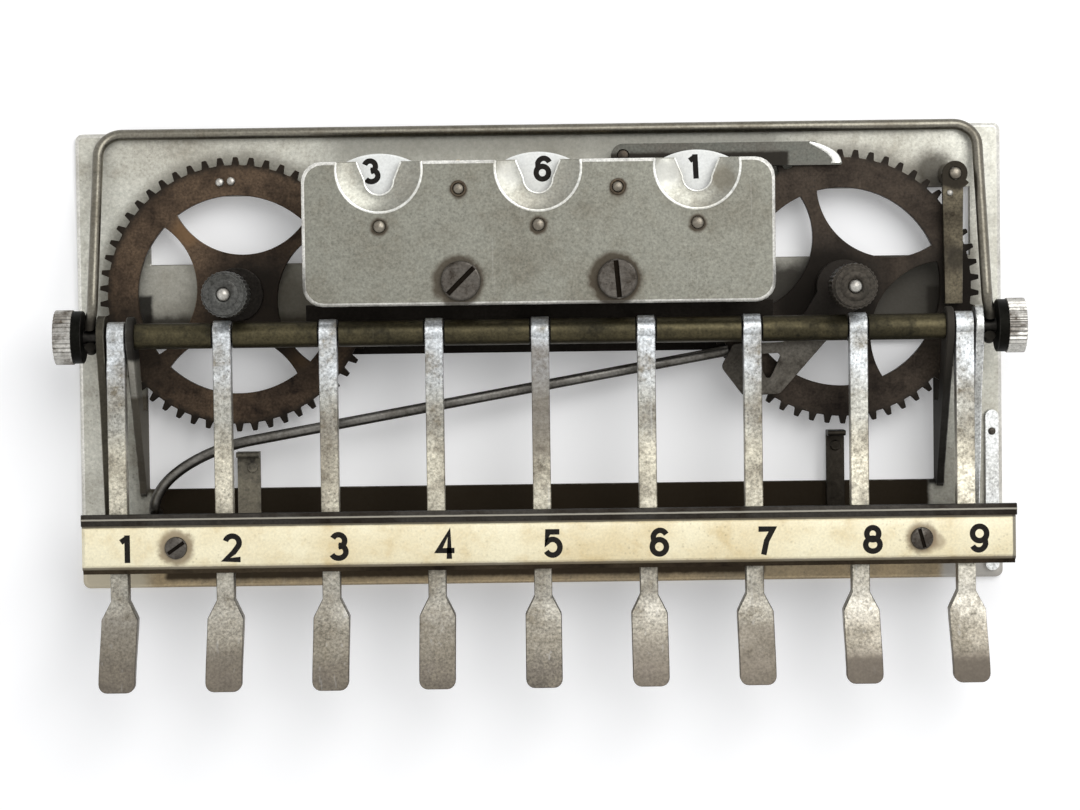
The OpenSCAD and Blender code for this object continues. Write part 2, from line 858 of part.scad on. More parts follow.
// Arm beside an outer key that carries the universal bar
module rocker_arm(side) {
    x = side > 0 ? arm_in : -arm_out;
    bar_at = [guide_y - 0.1, rod_h - bar_drop + bar_h / 2];
    run = norm([rod_y - bar_at[0], rod_h - bar_at[1]]);
    slope = atan2(rod_h - bar_at[1], rod_y - bar_at[0]);
    difference() {
        union() {
            on_rod(x, x + arm_t, arm_eye_r);
            across(x, x + arm_t)
                translate([rod_y, rod_h])
                    rotate(180 + slope)
                        polygon([
                            [0.5, -arm_eye_r + 0.05], [0.5, arm_eye_r - 0.05],
                            [run * 0.3, 1.8], [run, 1.8], [run, -1.8], [run * 0.3, -1.8]
                        ]);
            translate([x, bar_at[0], bar_at[1]])
                rotate([0, 90, 0])
                    cylinder(h = arm_t, r = 1.8);
        }
        on_rod(x - 1, x + arm_t + 1, rod_d / 2 + fit);
    }
}

module rocker_arm_left() {
    color(olive)
        rocker_arm(-1);
}

module rocker_arm_right() {
    color(silver)
        rocker_arm(1);
}

// Wire bail: drawn flat, then tilted down to rest over the plate's rear edge
module bail() {
    r = wire_d / 2;
    x = (eye_in + eye_out) / 2;
    color(silver)
        translate([0, rod_y, rod_h])
            rotate([-bail_tilt, 0, 0])
                difference() {
                    union() {
                        for (side = [-1, 1]) {
                            translate([side * x - 0.4 * wire_d, 0, 0])
                                rotate([0, 90, 0])
                                    cylinder(h = 0.8 * wire_d, r = rod_d / 2 + wire_d);
                            translate([side * x, rod_d / 2 + 0.5, 0])
                                rotate([-90, 0, 0])
                                    cylinder(h = bail_l - bail_bend - rod_d / 2 - 0.5, r = r);
                            translate([side * (x - bail_bend), bail_l - bail_bend, 0])
                                rotate([0, 0, side > 0 ? 0 : 90])
                                    rotate_extrude(angle = 90)
                                        translate([bail_bend, 0])
                                            circle(r);
                        }
                        translate([bail_bend - x, bail_l, 0])
                            rotate([0, 90, 0])
                                cylinder(h = 2 * (x - bail_bend), r = r);
                    }
                    translate([-x - wire_d, 0, 0])
                        rotate([0, 90, 0])
                            cylinder(h = 2 * (x + wire_d), r = rod_d / 2 + fit);
                }
}

// Toothed wheel with four lens-shaped openings; the first one points to opening_a
module wheel(side, opening_a) {
    reach = (pow(opening_r, 2) - pow(opening_inner_r, 2))
        / (2 * (opening_r * cos(opening_half) - opening_inner_r));
    translate([side * wheel_x, wheel_y, wheel_z])
        difference() {
            linear_extrude(wheel_t)
                difference() {
                    polygon(toothed(wheel_teeth, wheel_root, wheel_tip, 1.5, 0.4,
                        side > 0 ? 180 - mesh_angle : mesh_angle));
                    for (k = [0 : 3])
                        rotate(opening_a + 90 * k)
                            intersection() {
                                circle(opening_r);
                                translate([reach, 0])
                                    circle(reach - opening_inner_r);
                            }
                }
            translate([0, 0, -1])
                cylinder(h = wheel_t + 2, r = sleeve_d / 2 + 0.02);
        }
}

module wheel_sleeve(side) {
    color(dark_steel)
        translate([side * wheel_x, wheel_y, 0])
            difference() {
                union() {
                    translate([0, 0, wheel_z])
                        cylinder(h = sleeve_top - wheel_z, r = sleeve_d / 2);
                    translate([0, 0, wheel_top])
                        cylinder(h = 0.8, r = sleeve_d / 2 + 2.2);
                }
                translate([0, 0, wheel_z - 1])
                    cylinder(h = sleeve_top, r = wheel_stud_d / 2 + fit);
            }
}

module setting_knob(side) {
    color(dark_steel)
        translate([side * wheel_x, wheel_y, sleeve_top])
            difference() {
                union() {
                    linear_extrude(knob_h - 1)
                        polygon(knurl(knob_d / 2, 30, 0.2));
                    cylinder(h = knob_h, r = knob_d / 2 - 0.5);
                }
                translate([0, 0, -1])
                    cylinder(h = knob_h + 2, r = wheel_stud_d / 2 + fit);
            }
}

module left_wheel() {
    color(bronze)
        wheel(-1, 86.5);
}

module left_wheel_pins() {
    color(silver)
        for (a = [92, 97.7])
            domed_pin(-wheel_x + pin_ring_r * cos(a), wheel_y + pin_ring_r * sin(a), 0.7,
                wheel_top, wheel_top + 1.2, 0.4);
}

module left_wheel_sleeve() wheel_sleeve(-1);

module left_setting_knob() setting_knob(-1);

module right_wheel() {
    color([0.24, 0.17, 0.13])
        wheel(1, 64);
}

module right_wheel_sleeve() wheel_sleeve(1);

module right_setting_knob() setting_knob(1);

// Tube that turns on an arbor stud and carries a disc on its top
module arbor_tube() {
    translate([0, 0, pinion_z])
        cylinder(h = dial_z - pinion_z, r = arbor_stud_d / 2 + 0.9);
}

// Ten-tooth pinion at wheel height, with a gap toward gap_a
module dial_pinion(gap_a) {
    translate([0, 0, pinion_z])
        linear_extrude(pinion_h)
            polygon(toothed(pinion_teeth, pinion_root, pinion_tip, 1.3, 0.5, gap_a + 180 / pinion_teeth));
}

// Plain disc with two carry teeth centred on middle_a
module carry_sector(level, middle_a) {
    translate([0, 0, carry_z + level * carry_step])
        linear_extrude(carry_t) {
            circle(sector_r, $fn = 96);
            for (a = [-9, 9])
                rotate(middle_a + a)
                    polygon([
                        [sector_r - 1, -0.9], [sector_tip, -0.28],
                        [sector_tip, 0.28], [sector_r - 1, 0.9]
                    ]);
        }
}

// Twenty-tooth driven gear with a tooth toward the next transfer pinion
module carry_gear(level) {
    translate([0, 0, carry_z + level * carry_step])
        linear_extrude(carry_t)
            polygon(toothed(carry_teeth, carry_root, carry_tip, 1.8, 0.55, transfer_angle));
}

module arbor_bore() {
    translate([0, 0, plate_t])
        cylinder(h = cover_h, r = arbor_stud_d / 2 + fit);
}

module units_arbor() {
    color(brass)
        translate([dial_pitch, dial_y, 0])
            difference() {
                union() {
                    arbor_tube();
                    dial_pinion(-mesh_angle);
                    carry_sector(0, 234 - transfer_angle);
                }
                arbor_bore();
            }
}

module tens_gear() {
    color(brass)
        translate([0, dial_y, 0])
            difference() {
                union() {
                    arbor_tube();
                    carry_gear(1);
                    carry_sector(2, 54 - transfer_angle);
                }
                arbor_bore();
            }
}

module hundreds_gear() {
    color(brass)
        translate([-dial_pitch, dial_y, 0])
            difference() {
                union() {
                    arbor_tube();
                    dial_pinion(180 + mesh_angle);
                    carry_gear(3);
                }
                arbor_bore();
            }
}

module number_disc(x) {
    color(ivory)
        translate([x, dial_y, dial_z])
            difference() {
                rotate_extrude($fn = 96)
                    polygon([
                        [0, 0], [dial_d / 2, 0], [dial_d / 2, dial_t - 0.2],
                        [dial_d / 2 - 0.2, dial_t], [0, dial_t]
                    ]);
                translate([0, 0, -1])
                    cylinder(h = dial_t + 2, r = arbor_stud_d / 2 + fit);
            }
}

module units_disc() number_disc(dial_pitch);

module tens_disc() number_disc(0);

module hundreds_disc() number_disc(-dial_pitch);

// Eight-tooth pinion that spans two carry levels
module transfer_pinion(side, level) {
    color(brass)
        translate([side * dial_pitch / 2, transfer_y, carry_z + level * carry_step])
            difference() {
                linear_extrude(carry_step + carry_t)
                    polygon(toothed(transfer_teeth, transfer_root, transfer_tip, 1.4, 0.55,
                        180 + transfer_angle + 180 / transfer_teeth));
                translate([0, 0, -1])
                    cylinder(h = carry_step + carry_t + 2, r = transfer_stud_d / 2 + fit);
            }
}

module units_transfer_pinion() transfer_pinion(1, 0);

module tens_transfer_pinion() transfer_pinion(-1, 2);

// V-shaped lever round the right hub; its corner bears on the long spring
module drive_lever() {
    color(dark_steel)
        translate([wheel_x, wheel_y, lever_z])
            difference() {
                union() {
                    cylinder(h = lever_t, r = sleeve_d / 2 + 2.2);
                    linear_extrude(lever_t)
                        difference() {
                            polygon(rounded([
                                [-20.2, -12.9, 1.2], [-18.2, -9.2, 0.8], [-9.3, -8.9, 2],
                                [-3.2, 1, 0], [2.8, -2.4, 0],
                                [lever_tip[0] + lever_arm_w / 2 + 0.3, lever_tip[1] - 0.6, 1.2],
                                [-16.6, -17.7, 1.2]
                            ]));
                            polygon(rounded([
                                [-14.9, -10.9, 0.5], [-10.2, -10.7, 0.5],
                                [-9.2 - lever_arm_w, -15.4, 0.5]
                            ]));
                        }
                }
                translate([0, 0, -1])
                    cylinder(h = lever_t + 2, r = sleeve_d / 2 + fit);
            }
}

module drive_pawl() {
    color(steel)
        translate([wheel_x, wheel_y, lock_z])
            linear_extrude(lever_z - lock_z)
                polygon(rounded([
                    [lever_tip[0] - 1.4, lever_tip[1] + 1.4, 0.4], [lever_tip[0] - 1.2, lever_tip[1] - 0.4, 0.4],
                    [lever_tip[0] + 1.2, lever_tip[1] - 0.2, 0.3], [lever_tip[0] + 1.3, lever_tip[1] + 1.8, 0.4]
                ]));
}

// Click lever that rests over the right wheel's rim
module lock_lever() {
    color(dark_steel)
        translate([lock_at[0], lock_at[1], lock_z])
            difference() {
                union() {
                    cylinder(h = lock_t, r = lock_half);
                    linear_extrude(lock_t)
                        polygon(rounded([
                            [0, -lock_half, 0], [lock_reach, -lock_half, 0.3],
                            [lock_reach - 5, lock_half, 0.6], [0, lock_half, 0]
                        ]));
                }
                translate([0, 0, -1])
                    cylinder(h = lock_t + 2, r = lock_pin_r + fit);
            }
}

module stop_lever() {
    color(brass)
        translate([stop_at[0], stop_at[1], stop_z])
            difference() {
                union() {
                    cylinder(h = stop_t, r = 2.4);
                    translate([-0.95 - stop_w / 2, -stop_reach, 0])
                        cube([stop_w, stop_reach, stop_t]);
                }
                translate([0, 0, -1])
                    cylinder(h = stop_t + 2, r = stop_pin_r + fit);
            }
}

base_plate();
key_guide();
number_strip();
strip_screws();
key_rod();
rod_spacers();
left_rod_collar();
right_rod_collar();
left_rod_nut();
right_rod_nut();
wheel_studs();
arbor_studs();
cover_plate();
cover_pillars();
cover_screws();
dial_rail();
return_spring();
spring_post();
left_detent();
right_detent();
lock_stud();
stop_stud();
edge_strip();
key_1();
key_2();
key_3();
key_4();
key_5();
key_6();
key_7();
key_8();
key_9();
universal_bar();
rocker_arm_left();
rocker_arm_right();
bail();
left_wheel();
left_wheel_pins();
left_wheel_sleeve();
left_setting_knob();
right_wheel();
right_wheel_sleeve();
right_setting_knob();
units_arbor();
units_disc();
tens_gear();
tens_disc();
hundreds_gear();
hundreds_disc();
units_transfer_pinion();
tens_transfer_pinion();
drive_lever();
drive_pawl();
lock_lever();
stop_lever();
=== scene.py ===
"""Dresses an open-frame adding machine: keys on a rod, toothed wheels and a number read-out.

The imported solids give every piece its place. Each one is copied, its edges are
broken by a fine bevel, and it gets a worn metal or enamel finish. Numerals, bent
wires, washers and rivets that the solids leave out are surfaces worked out here.
"""
from __future__ import annotations

import json
import logging
import math
from dataclasses import dataclass, replace
from enum import Enum
from typing import Callable, Iterable, Sequence

import bmesh
import bpy
import numpy as np
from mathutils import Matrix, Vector

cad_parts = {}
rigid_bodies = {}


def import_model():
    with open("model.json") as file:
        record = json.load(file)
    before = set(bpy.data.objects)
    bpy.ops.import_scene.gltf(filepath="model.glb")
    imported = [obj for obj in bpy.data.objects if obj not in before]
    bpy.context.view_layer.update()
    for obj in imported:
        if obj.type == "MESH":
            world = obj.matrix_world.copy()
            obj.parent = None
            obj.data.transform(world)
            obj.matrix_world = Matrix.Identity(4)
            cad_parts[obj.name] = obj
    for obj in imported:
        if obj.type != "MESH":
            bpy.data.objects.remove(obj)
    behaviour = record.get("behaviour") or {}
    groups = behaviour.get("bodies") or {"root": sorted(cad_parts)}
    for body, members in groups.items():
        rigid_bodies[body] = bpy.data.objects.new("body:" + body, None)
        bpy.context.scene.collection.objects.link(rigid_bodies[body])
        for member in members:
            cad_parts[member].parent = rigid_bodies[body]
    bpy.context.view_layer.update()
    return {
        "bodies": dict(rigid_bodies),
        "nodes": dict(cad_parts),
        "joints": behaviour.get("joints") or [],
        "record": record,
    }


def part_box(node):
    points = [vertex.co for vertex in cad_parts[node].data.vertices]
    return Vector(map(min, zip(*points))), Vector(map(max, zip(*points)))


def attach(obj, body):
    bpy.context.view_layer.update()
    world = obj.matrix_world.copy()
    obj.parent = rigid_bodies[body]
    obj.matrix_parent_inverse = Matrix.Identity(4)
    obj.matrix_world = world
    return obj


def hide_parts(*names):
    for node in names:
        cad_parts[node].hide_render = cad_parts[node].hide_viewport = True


LOG = logging.getLogger("adding_machine")
MM = 0.001
Color = tuple[float, float, float]
Point = tuple[float, float, float]
Surface = tuple[np.ndarray, np.ndarray]
Socket = bpy.types.NodeSocket

# Distances in metres: seams and slivers of new surfaces, and doubled points of the solids
SEAM = 1e-7
SLIVER = 1e-8
WELD = 2e-6
# Bends in degrees: faces merge below the first, edges are broken above the second,
# and new surfaces and dressed solids are shaded smooth below the last two
FLAT_BEND = 0.8
SHARP_BEND = 32.0
SMOOTH_BEND = 38.0
SMOOTH_SOLID_BEND = 30.0
# An edge stays sharp where one face is this many times larger than the other
LARGER_FACE = 60
# Noise scales per metre: clusters of pits, fine grain, scratches, frayed dirt and brushing
CLUSTER_SCALE = 130.0
GRAIN_SCALE = 2300.0
SCRATCH_SCALE = 900.0
FRAY_SCALE = 650.0
BRUSH_SCALE = 1400.0
# How dark pits are, as a share of the stain, and how deep bumps look, in metres
METAL_PIT_SHARE = 0.35
ENAMEL_PIT_SHARE = 0.3
BUMP_DEPTH = 0.0001


class Wear(Enum):
    """How far a finish has aged."""

    CLEAN = 0.25
    USED = 0.6
    OLD = 1.0


class Grain(Enum):
    """Direction of the fine brushing, as the stretch along X, Y and Z."""

    NONE = (1.0, 1.0, 1.0)
    ALONG_Y = (1.0, 0.06, 1.0)


class NodeSheet:
    """Adds and joins shader nodes in one tree."""

    def __init__(self, tree: bpy.types.NodeTree) -> None:
        """Starts a sheet.

        Args:
            tree: the node tree that is filled.
        """
        self.tree = tree

    def add(self, kind: str, **inputs: object) -> bpy.types.Node:
        """Adds a node and sets or links its inputs.

        Args:
            kind: the node's type name, without the ShaderNode prefix.
            inputs: socket names with spaces as underscores; a socket is linked, other values are set.
                Names that start with p_ are the node's own properties.

        Returns:
            The new node.
        """
        node = self.tree.nodes.new("ShaderNode" + kind)
        for name, value in inputs.items():
            if name.startswith("p_"):
                setattr(node, name[2:], value)
        for name, value in inputs.items():
            if name.startswith("p_"):
                continue
            key = int(name[1:]) if name[1:].isdigit() else name.replace("_", " ")
            socket = node.inputs[key]
            if isinstance(value, Socket):
                self.tree.links.new(value, socket)
            else:
                socket.default_value = value
        return node

    def math(self, operation: str, first: object, second: object = 0.0, clamp: bool = False) -> Socket:
        """Returns the result of one math node on two values or sockets."""
        node = self.add("Math", p_operation=operation, p_use_clamp=clamp, i0=first, i1=second)
        return node.outputs[0]

    def blend(self, factor: object, first: object, second: object, mode: str = "MIX") -> Socket:
        """Returns the colour that mixes two colours by a factor."""
        node = self.add("Mix", p_data_type="RGBA", p_blend_type=mode, i0=factor, i6=first, i7=second)
        return node.outputs[2]

    def steps(self, value: object, low: float, high: float) -> Socket:
        """Returns a value eased from 0 at low to 1 at high."""
        node = self.add("MapRange", p_interpolation_type="SMOOTHSTEP",
                        Value=value, From_Min=low, From_Max=high)
        return node.outputs[0]


def fresh_sheet(owner: bpy.types.Material | bpy.types.World) -> NodeSheet:
    """Empties the node tree of a material or world and returns a sheet on it."""
    owner.use_nodes = True
    owner.node_tree.nodes.clear()
    return NodeSheet(owner.node_tree)


def linked(name: str, data: bpy.types.ID) -> bpy.types.Object:
    """Returns a new object in the scene that shows the data."""
    made = bpy.data.objects.new(name, data)
    bpy.context.scene.collection.objects.link(made)
    return made


def seen_direct(sheet: NodeSheet) -> Socket:
    """Returns 1 where the camera or a sharp reflection sees a surface, and 0 elsewhere."""
    ray = sheet.add("LightPath")
    return sheet.math("MAXIMUM", ray.outputs["Is Camera Ray"], ray.outputs["Is Glossy Ray"])


GroupParts = tuple[bpy.types.NodeTree, NodeSheet, bpy.types.Node, bpy.types.Node]


class GroupKit:
    """Node groups that the finishes share, each built once."""

    def __init__(self) -> None:
        """Builds the patina, speckle and brushing groups."""
        self.patina = self._patina()
        self.speckle = self._speckle()
        self.brushing = self._brushing()

    @staticmethod
    def _group(name: str, takes: dict[str, str], gives: dict[str, str]) -> GroupParts:
        """Makes an empty group with its sockets.

        Args:
            name: the group's name.
            takes: input names with their socket kinds.
            gives: output names with their socket kinds.

        Returns:
            The tree, its sheet, its input node and its output node.
        """
        tree = bpy.data.node_groups.new(name, "ShaderNodeTree")
        for socket, kind in takes.items():
            tree.interface.new_socket(socket, in_out="INPUT", socket_type="NodeSocket" + kind)
        for socket, kind in gives.items():
            tree.interface.new_socket(socket, in_out="OUTPUT", socket_type="NodeSocket" + kind)
        sheet = NodeSheet(tree)
        return tree, sheet, tree.nodes.new("NodeGroupInput"), tree.nodes.new("NodeGroupOutput")

    def _patina(self) -> bpy.types.NodeTree:
        """Returns a group that clouds a base colour with stains of two sizes."""
        tree, sheet, take, give = self._group(
            "patina",
            {"Vector": "Vector", "Base": "Color", "Stain": "Color", "Amount": "Float", "Scale": "Float"},
            {"Color": "Color", "Mask": "Float"},
        )
        wide = sheet.add("TexNoise", Vector=take.outputs["Vector"], Scale=take.outputs["Scale"],
                         Detail=4.0, Roughness=0.62)
        fine_scale = sheet.math("MULTIPLY", take.outputs["Scale"], 5.3)
        fine = sheet.add("TexNoise", Vector=take.outputs["Vector"], Scale=fine_scale, Detail=3.0,
                         Roughness=0.7)
        broad = sheet.steps(wide.outputs["Fac"], 0.40, 0.68)
        small = sheet.steps(fine.outputs["Fac"], 0.46, 0.74)
        mask = sheet.math("ADD", sheet.math("MULTIPLY", broad, 0.7), sheet.math("MULTIPLY", small, 0.45),
                          True)
        amount = sheet.math("MULTIPLY", mask, take.outputs["Amount"], True)
        color = sheet.blend(amount, take.outputs["Base"], take.outputs["Stain"])
        tree.links.new(color, give.inputs["Color"])
        tree.links.new(amount, give.inputs["Mask"])
        return tree

    def _speckle(self) -> bpy.types.NodeTree:
        """Returns a group that strews small dark pits over a colour."""
        tree, sheet, take, give = self._group(
            "speckle",
            {"Vector": "Vector", "Color": "Color", "Pit": "Color", "Amount": "Float", "Scale": "Float",
             "Mottle": "Float"},
            {"Color": "Color", "Mask": "Float"},
        )
        cells = sheet.add("TexVoronoi", Vector=take.outputs["Vector"], Scale=take.outputs["Scale"],
                          Randomness=1.0)
        chance = sheet.add("SeparateColor", Color=cells.outputs["Color"])
        patches = sheet.add("TexNoise", Vector=take.outputs["Vector"], Scale=CLUSTER_SCALE, Detail=3.0,
                            Roughness=0.6)
        crowd = sheet.steps(patches.outputs["Fac"], 0.38, 0.62)
        reach = sheet.math("ADD", sheet.math("MULTIPLY", chance.outputs[1], 0.4), 0.12)
        dot = sheet.math("SUBTRACT", 1.0, sheet.math("DIVIDE", cells.outputs["Distance"], reach), True)
        kept = sheet.math("MULTIPLY", sheet.steps(chance.outputs[0], 0.35, 0.7), crowd)
        mask = sheet.math("MULTIPLY", sheet.math("MULTIPLY", dot, kept), take.outputs["Amount"], True)
        salt = sheet.add("TexNoise", Vector=take.outputs["Vector"], Scale=GRAIN_SCALE, Detail=3.0,
                         Roughness=0.65)
        swing = sheet.math("MULTIPLY", sheet.math("SUBTRACT", salt.outputs["Fac"], 0.5),
                           take.outputs["Mottle"])
        grey = sheet.math("ADD", 1.0, sheet.math("MULTIPLY", swing, 4.0))
        grained = sheet.add("VectorMath", p_operation="SCALE", i0=take.outputs["Color"],
                            Scale=sheet.math("MAXIMUM", grey, 0.15))
        color = sheet.blend(mask, grained.outputs[0], take.outputs["Pit"])
        tree.links.new(color, give.inputs["Color"])
        tree.links.new(mask, give.inputs["Mask"])
        return tree

    def _brushing(self) -> bpy.types.NodeTree:
        """Returns a group that gives fine lines drawn along one axis, with a few deeper scratches."""
        tree, sheet, take, give = self._group(
            "brushing",
            {"Vector": "Vector", "Stretch": "Vector", "Scale": "Float"},
            {"Lines": "Float", "Scratch": "Float"},
        )
        drawn = sheet.add("VectorMath", p_operation="MULTIPLY", i0=take.outputs["Vector"],
                          i1=take.outputs["Stretch"])
        lines = sheet.add("TexNoise", Vector=drawn.outputs[0], Scale=take.outputs["Scale"], Detail=5.0,
                          Roughness=0.75)
        slant = sheet.add("Mapping", Vector=take.outputs["Vector"], Rotation=(0.3, 0.2, 0.7),
                          Scale=(1.0, 0.04, 1.0))
        wild = sheet.add("TexNoise", Vector=slant.outputs[0], Scale=SCRATCH_SCALE, Detail=2.0, Roughness=0.5)
        scratch = sheet.steps(wild.outputs["Fac"], 0.66, 0.72)
        tree.links.new(lines.outputs["Fac"], give.inputs["Lines"])
        tree.links.new(scratch, give.inputs["Scratch"])
        return tree


@dataclass(frozen=True)
class Fade:
    """A colour that takes over along Y, between two places in millimetres."""

    color: Color
    start: float
    end: float

    def over(self, sheet: NodeSheet, place: Socket, color: Socket) -> Socket:
        """Returns the colour blended by the place along Y, in metres."""
        share = sheet.add("MapRange", p_interpolation_type="SMOOTHSTEP", Value=place,
                          From_Min=self.start * MM,
                          From_Max=self.end * MM).outputs[0]
        return sheet.blend(share, color, (*self.color, 1.0))


@dataclass(frozen=True)
class Zone:
    """A patch laid as a soft box in X and Y, in millimetres: a stain, painted shade or a painted highlight.
    """

    left: float
    right: float
    front: float
    back: float
    soft: float = 1.2
    strength: float = 0.92
    color: Color = (0.024, 0.019, 0.013)

    def mask(self, sheet: NodeSheet, x: Socket, y: Socket) -> Socket:
        """Returns 1 inside the patch and 0 outside: the product of four soft steps."""
        soft = self.soft * MM
        sides = (
            sheet.steps(x, self.left * MM - soft, self.left * MM + soft),
            sheet.math("SUBTRACT", 1.0, sheet.steps(x, self.right * MM - soft, self.right * MM + soft)),
            sheet.steps(y, self.front * MM - soft, self.front * MM + soft),
            sheet.math("SUBTRACT", 1.0, sheet.steps(y, self.back * MM - soft, self.back * MM + soft)),
        )
        inside = sheet.math("MULTIPLY", sheet.math("MULTIPLY", sides[0], sides[1]),
                            sheet.math("MULTIPLY", sides[2], sides[3]))
        return sheet.math("MULTIPLY", inside, self.strength, True)


@dataclass(frozen=True)
class Halo:
    """A round patch, in millimetres: a stain round a screw or stud, painted shade round a hub or under a
    wheel, or a painted highlight in a scoop.
    """

    x: float
    y: float
    radius: float
    soft: float = 0.7
    strength: float = 0.85
    color: Color = (0.05, 0.037, 0.024)
    outside: bool = False

    def mask(self, sheet: NodeSheet, x: Socket, y: Socket) -> Socket:
        """Returns 1 within the radius (or outside it), eased with the distance sqrt(dx dx + dy dy)."""
        across = sheet.math("SUBTRACT", x, self.x * MM)
        along = sheet.math("SUBTRACT", y, self.y * MM)
        square = sheet.math("ADD", sheet.math("MULTIPLY", across, across),
                            sheet.math("MULTIPLY", along, along))
        far = sheet.steps(sheet.math("SQRT", square), self.radius * MM, (self.radius + self.soft) * MM)
        share = far if self.outside else sheet.math("SUBTRACT", 1.0, far)
        return sheet.math("MULTIPLY", share, self.strength, True)


Patch = Zone | Halo


def lay_dirt_and_painted_light(sheet: NodeSheet, where: Socket, color: Socket,
            patches: tuple[Patch, ...]) -> tuple[Socket, object]:
    """Lays patches of dirt, painted shade and painted highlights over a colour, with edges frayed by noise.

    Args:
        sheet: the sheet of the material.
        where: the place on the object.
        color: the colour below.
        patches: the patches, in order.

    Returns:
        The colour, and how much of the surface is covered.
    """
    frayed = sheet.add("TexNoise", Vector=where, Scale=FRAY_SCALE, Detail=3.0, Roughness=0.6)
    swing = sheet.math("SUBTRACT", frayed.outputs["Fac"], 0.5)
    place = sheet.add("SeparateXYZ", Vector=where)
    covered: object = 0.0
    for patch in patches:
        shift = sheet.math("MULTIPLY", swing, min(2.0, 1.3 * patch.soft) * MM)
        mask = patch.mask(sheet, sheet.math("ADD", place.outputs[0], shift),
                          sheet.math("ADD", place.outputs[1], shift))
        color = sheet.blend(mask, color, (*patch.color, 1.0))
        covered = sheet.math("MAXIMUM", covered, mask)
    return color, covered


@dataclass(frozen=True)
class WornFinish:
    """What metals and enamels share: a base colour under stains and pits."""

    name: str
    slot: str
    base: Color
    stain: Color

    def build(self, groups: GroupKit) -> bpy.types.Material:
        """Makes the material once.

        Args:
            groups: the shared node groups.

        Returns:
            The material, new or already made.
        """
        made = bpy.data.materials.get("worn_" + self.name)
        if made is None:
            made = bpy.data.materials.new("worn_" + self.name)
            sheet = fresh_sheet(made)
            shader = self.surface(sheet, groups, sheet.add("TexCoord").outputs["Object"])
            sheet.add("OutputMaterial", Surface=shader.outputs[0])
        return made

    def ground(self, sheet: NodeSheet, groups: GroupKit, where: Socket, base: object,
               pit_share: float) -> tuple[bpy.types.Node, bpy.types.Node]:
        """Lays stains and pits over the base colour.

        Args:
            sheet: the sheet of the material.
            groups: the shared node groups.
            where: the place on the object.
            base: the colour below.
            pit_share: how dark the pits are, as a share of the stain.

        Returns:
            The patina node and the speckle node.
        """
        patina = sheet.add("Group", p_node_tree=groups.patina, Vector=where, Base=base,
                           Stain=(*self.stain, 1.0), Amount=self.wear.value, Scale=self.stain_scale)
        pit = tuple(channel * pit_share for channel in self.stain)
        speckle = sheet.add("Group", p_node_tree=groups.speckle, Vector=where,
                            Color=patina.outputs["Color"],
                            Pit=(*pit, 1.0), Amount=self.pits, Scale=self.pit_scale, Mottle=self.mottle)
        return patina, speckle


@dataclass(frozen=True)
class MetalFinish(WornFinish):
    """A worn metal: base colour, stains, pits and brushing."""

    bright: Color
    metallic: float = 0.85
    roughness: float = 0.42
    wear: Wear = Wear.USED
    stain_scale: float = 60.0
    pits: float = 0.35
    pit_scale: float = 900.0
    grain: Grain = Grain.NONE
    bump: float = 0.12
    mottle: float = 0.3
    fades: tuple[Fade, ...] = ()
    dirt_and_painted_light: tuple[Patch, ...] = ()

    def edge(self) -> "MetalFinish":
        """Returns the same metal rubbed bright, as on a worn edge."""
        return replace(self, name=self.name + "_edge", base=self.bright, pits=self.pits * 0.5,
                       roughness=max(0.18, self.roughness - 0.14), metallic=min(1.0, self.metallic + 0.08))

    def surface(self, sheet: NodeSheet, groups: GroupKit, where: Socket) -> bpy.types.Node:
        """Returns the metal's shader node, for the place on the object."""
        base: object = (*self.base, 1.0)
        for fade in self.fades:
            base = fade.over(sheet, sheet.add("SeparateXYZ", Vector=where).outputs[1], base)
        patina, speckle = self.ground(sheet, groups, where, base, METAL_PIT_SHARE)
        brushing = sheet.add("Group", p_node_tree=groups.brushing, Vector=where, Stretch=self.grain.value,
                             Scale=BRUSH_SCALE)
        tone = sheet.add("MapRange", Value=brushing.outputs["Lines"], From_Min=0.3, From_Max=0.7,
                         To_Min=0.9, To_Max=1.1)
        toned = sheet.add("VectorMath", p_operation="SCALE", i0=speckle.outputs["Color"],
                          Scale=tone.outputs[0])
        scratch = sheet.math("MULTIPLY", brushing.outputs["Scratch"], 0.09 * self.wear.value)
        color = sheet.blend(scratch, toned.outputs[0], (*self.bright, 1.0))
        covered: object = 0.0
        if self.dirt_and_painted_light:
            color, covered = lay_dirt_and_painted_light(sheet, where, color, self.dirt_and_painted_light)
        rough = sheet.math("ADD", self.roughness, sheet.math("MULTIPLY", patina.outputs["Mask"], 0.22))
        rough = sheet.math("ADD", rough, sheet.math("MULTIPLY", brushing.outputs["Lines"], 0.08), True)
        metal = sheet.math("SUBTRACT", self.metallic,
                           sheet.math("MULTIPLY", speckle.outputs["Mask"], 0.3), True)
        metal = sheet.math("MAXIMUM", metal, covered)
        rough = sheet.math("MAXIMUM", rough, sheet.math("MULTIPLY", covered, 0.8))
        height = sheet.math("SUBTRACT", sheet.math("MULTIPLY", brushing.outputs["Lines"], 0.5),
                            sheet.math("MULTIPLY", speckle.outputs["Mask"], 0.8))
        bump = sheet.add("Bump", Strength=self.bump, Distance=BUMP_DEPTH, Height=height)
        return sheet.add("BsdfPrincipled", Base_Color=color, Roughness=rough, Metallic=metal,
                         Normal=bump.outputs[0])


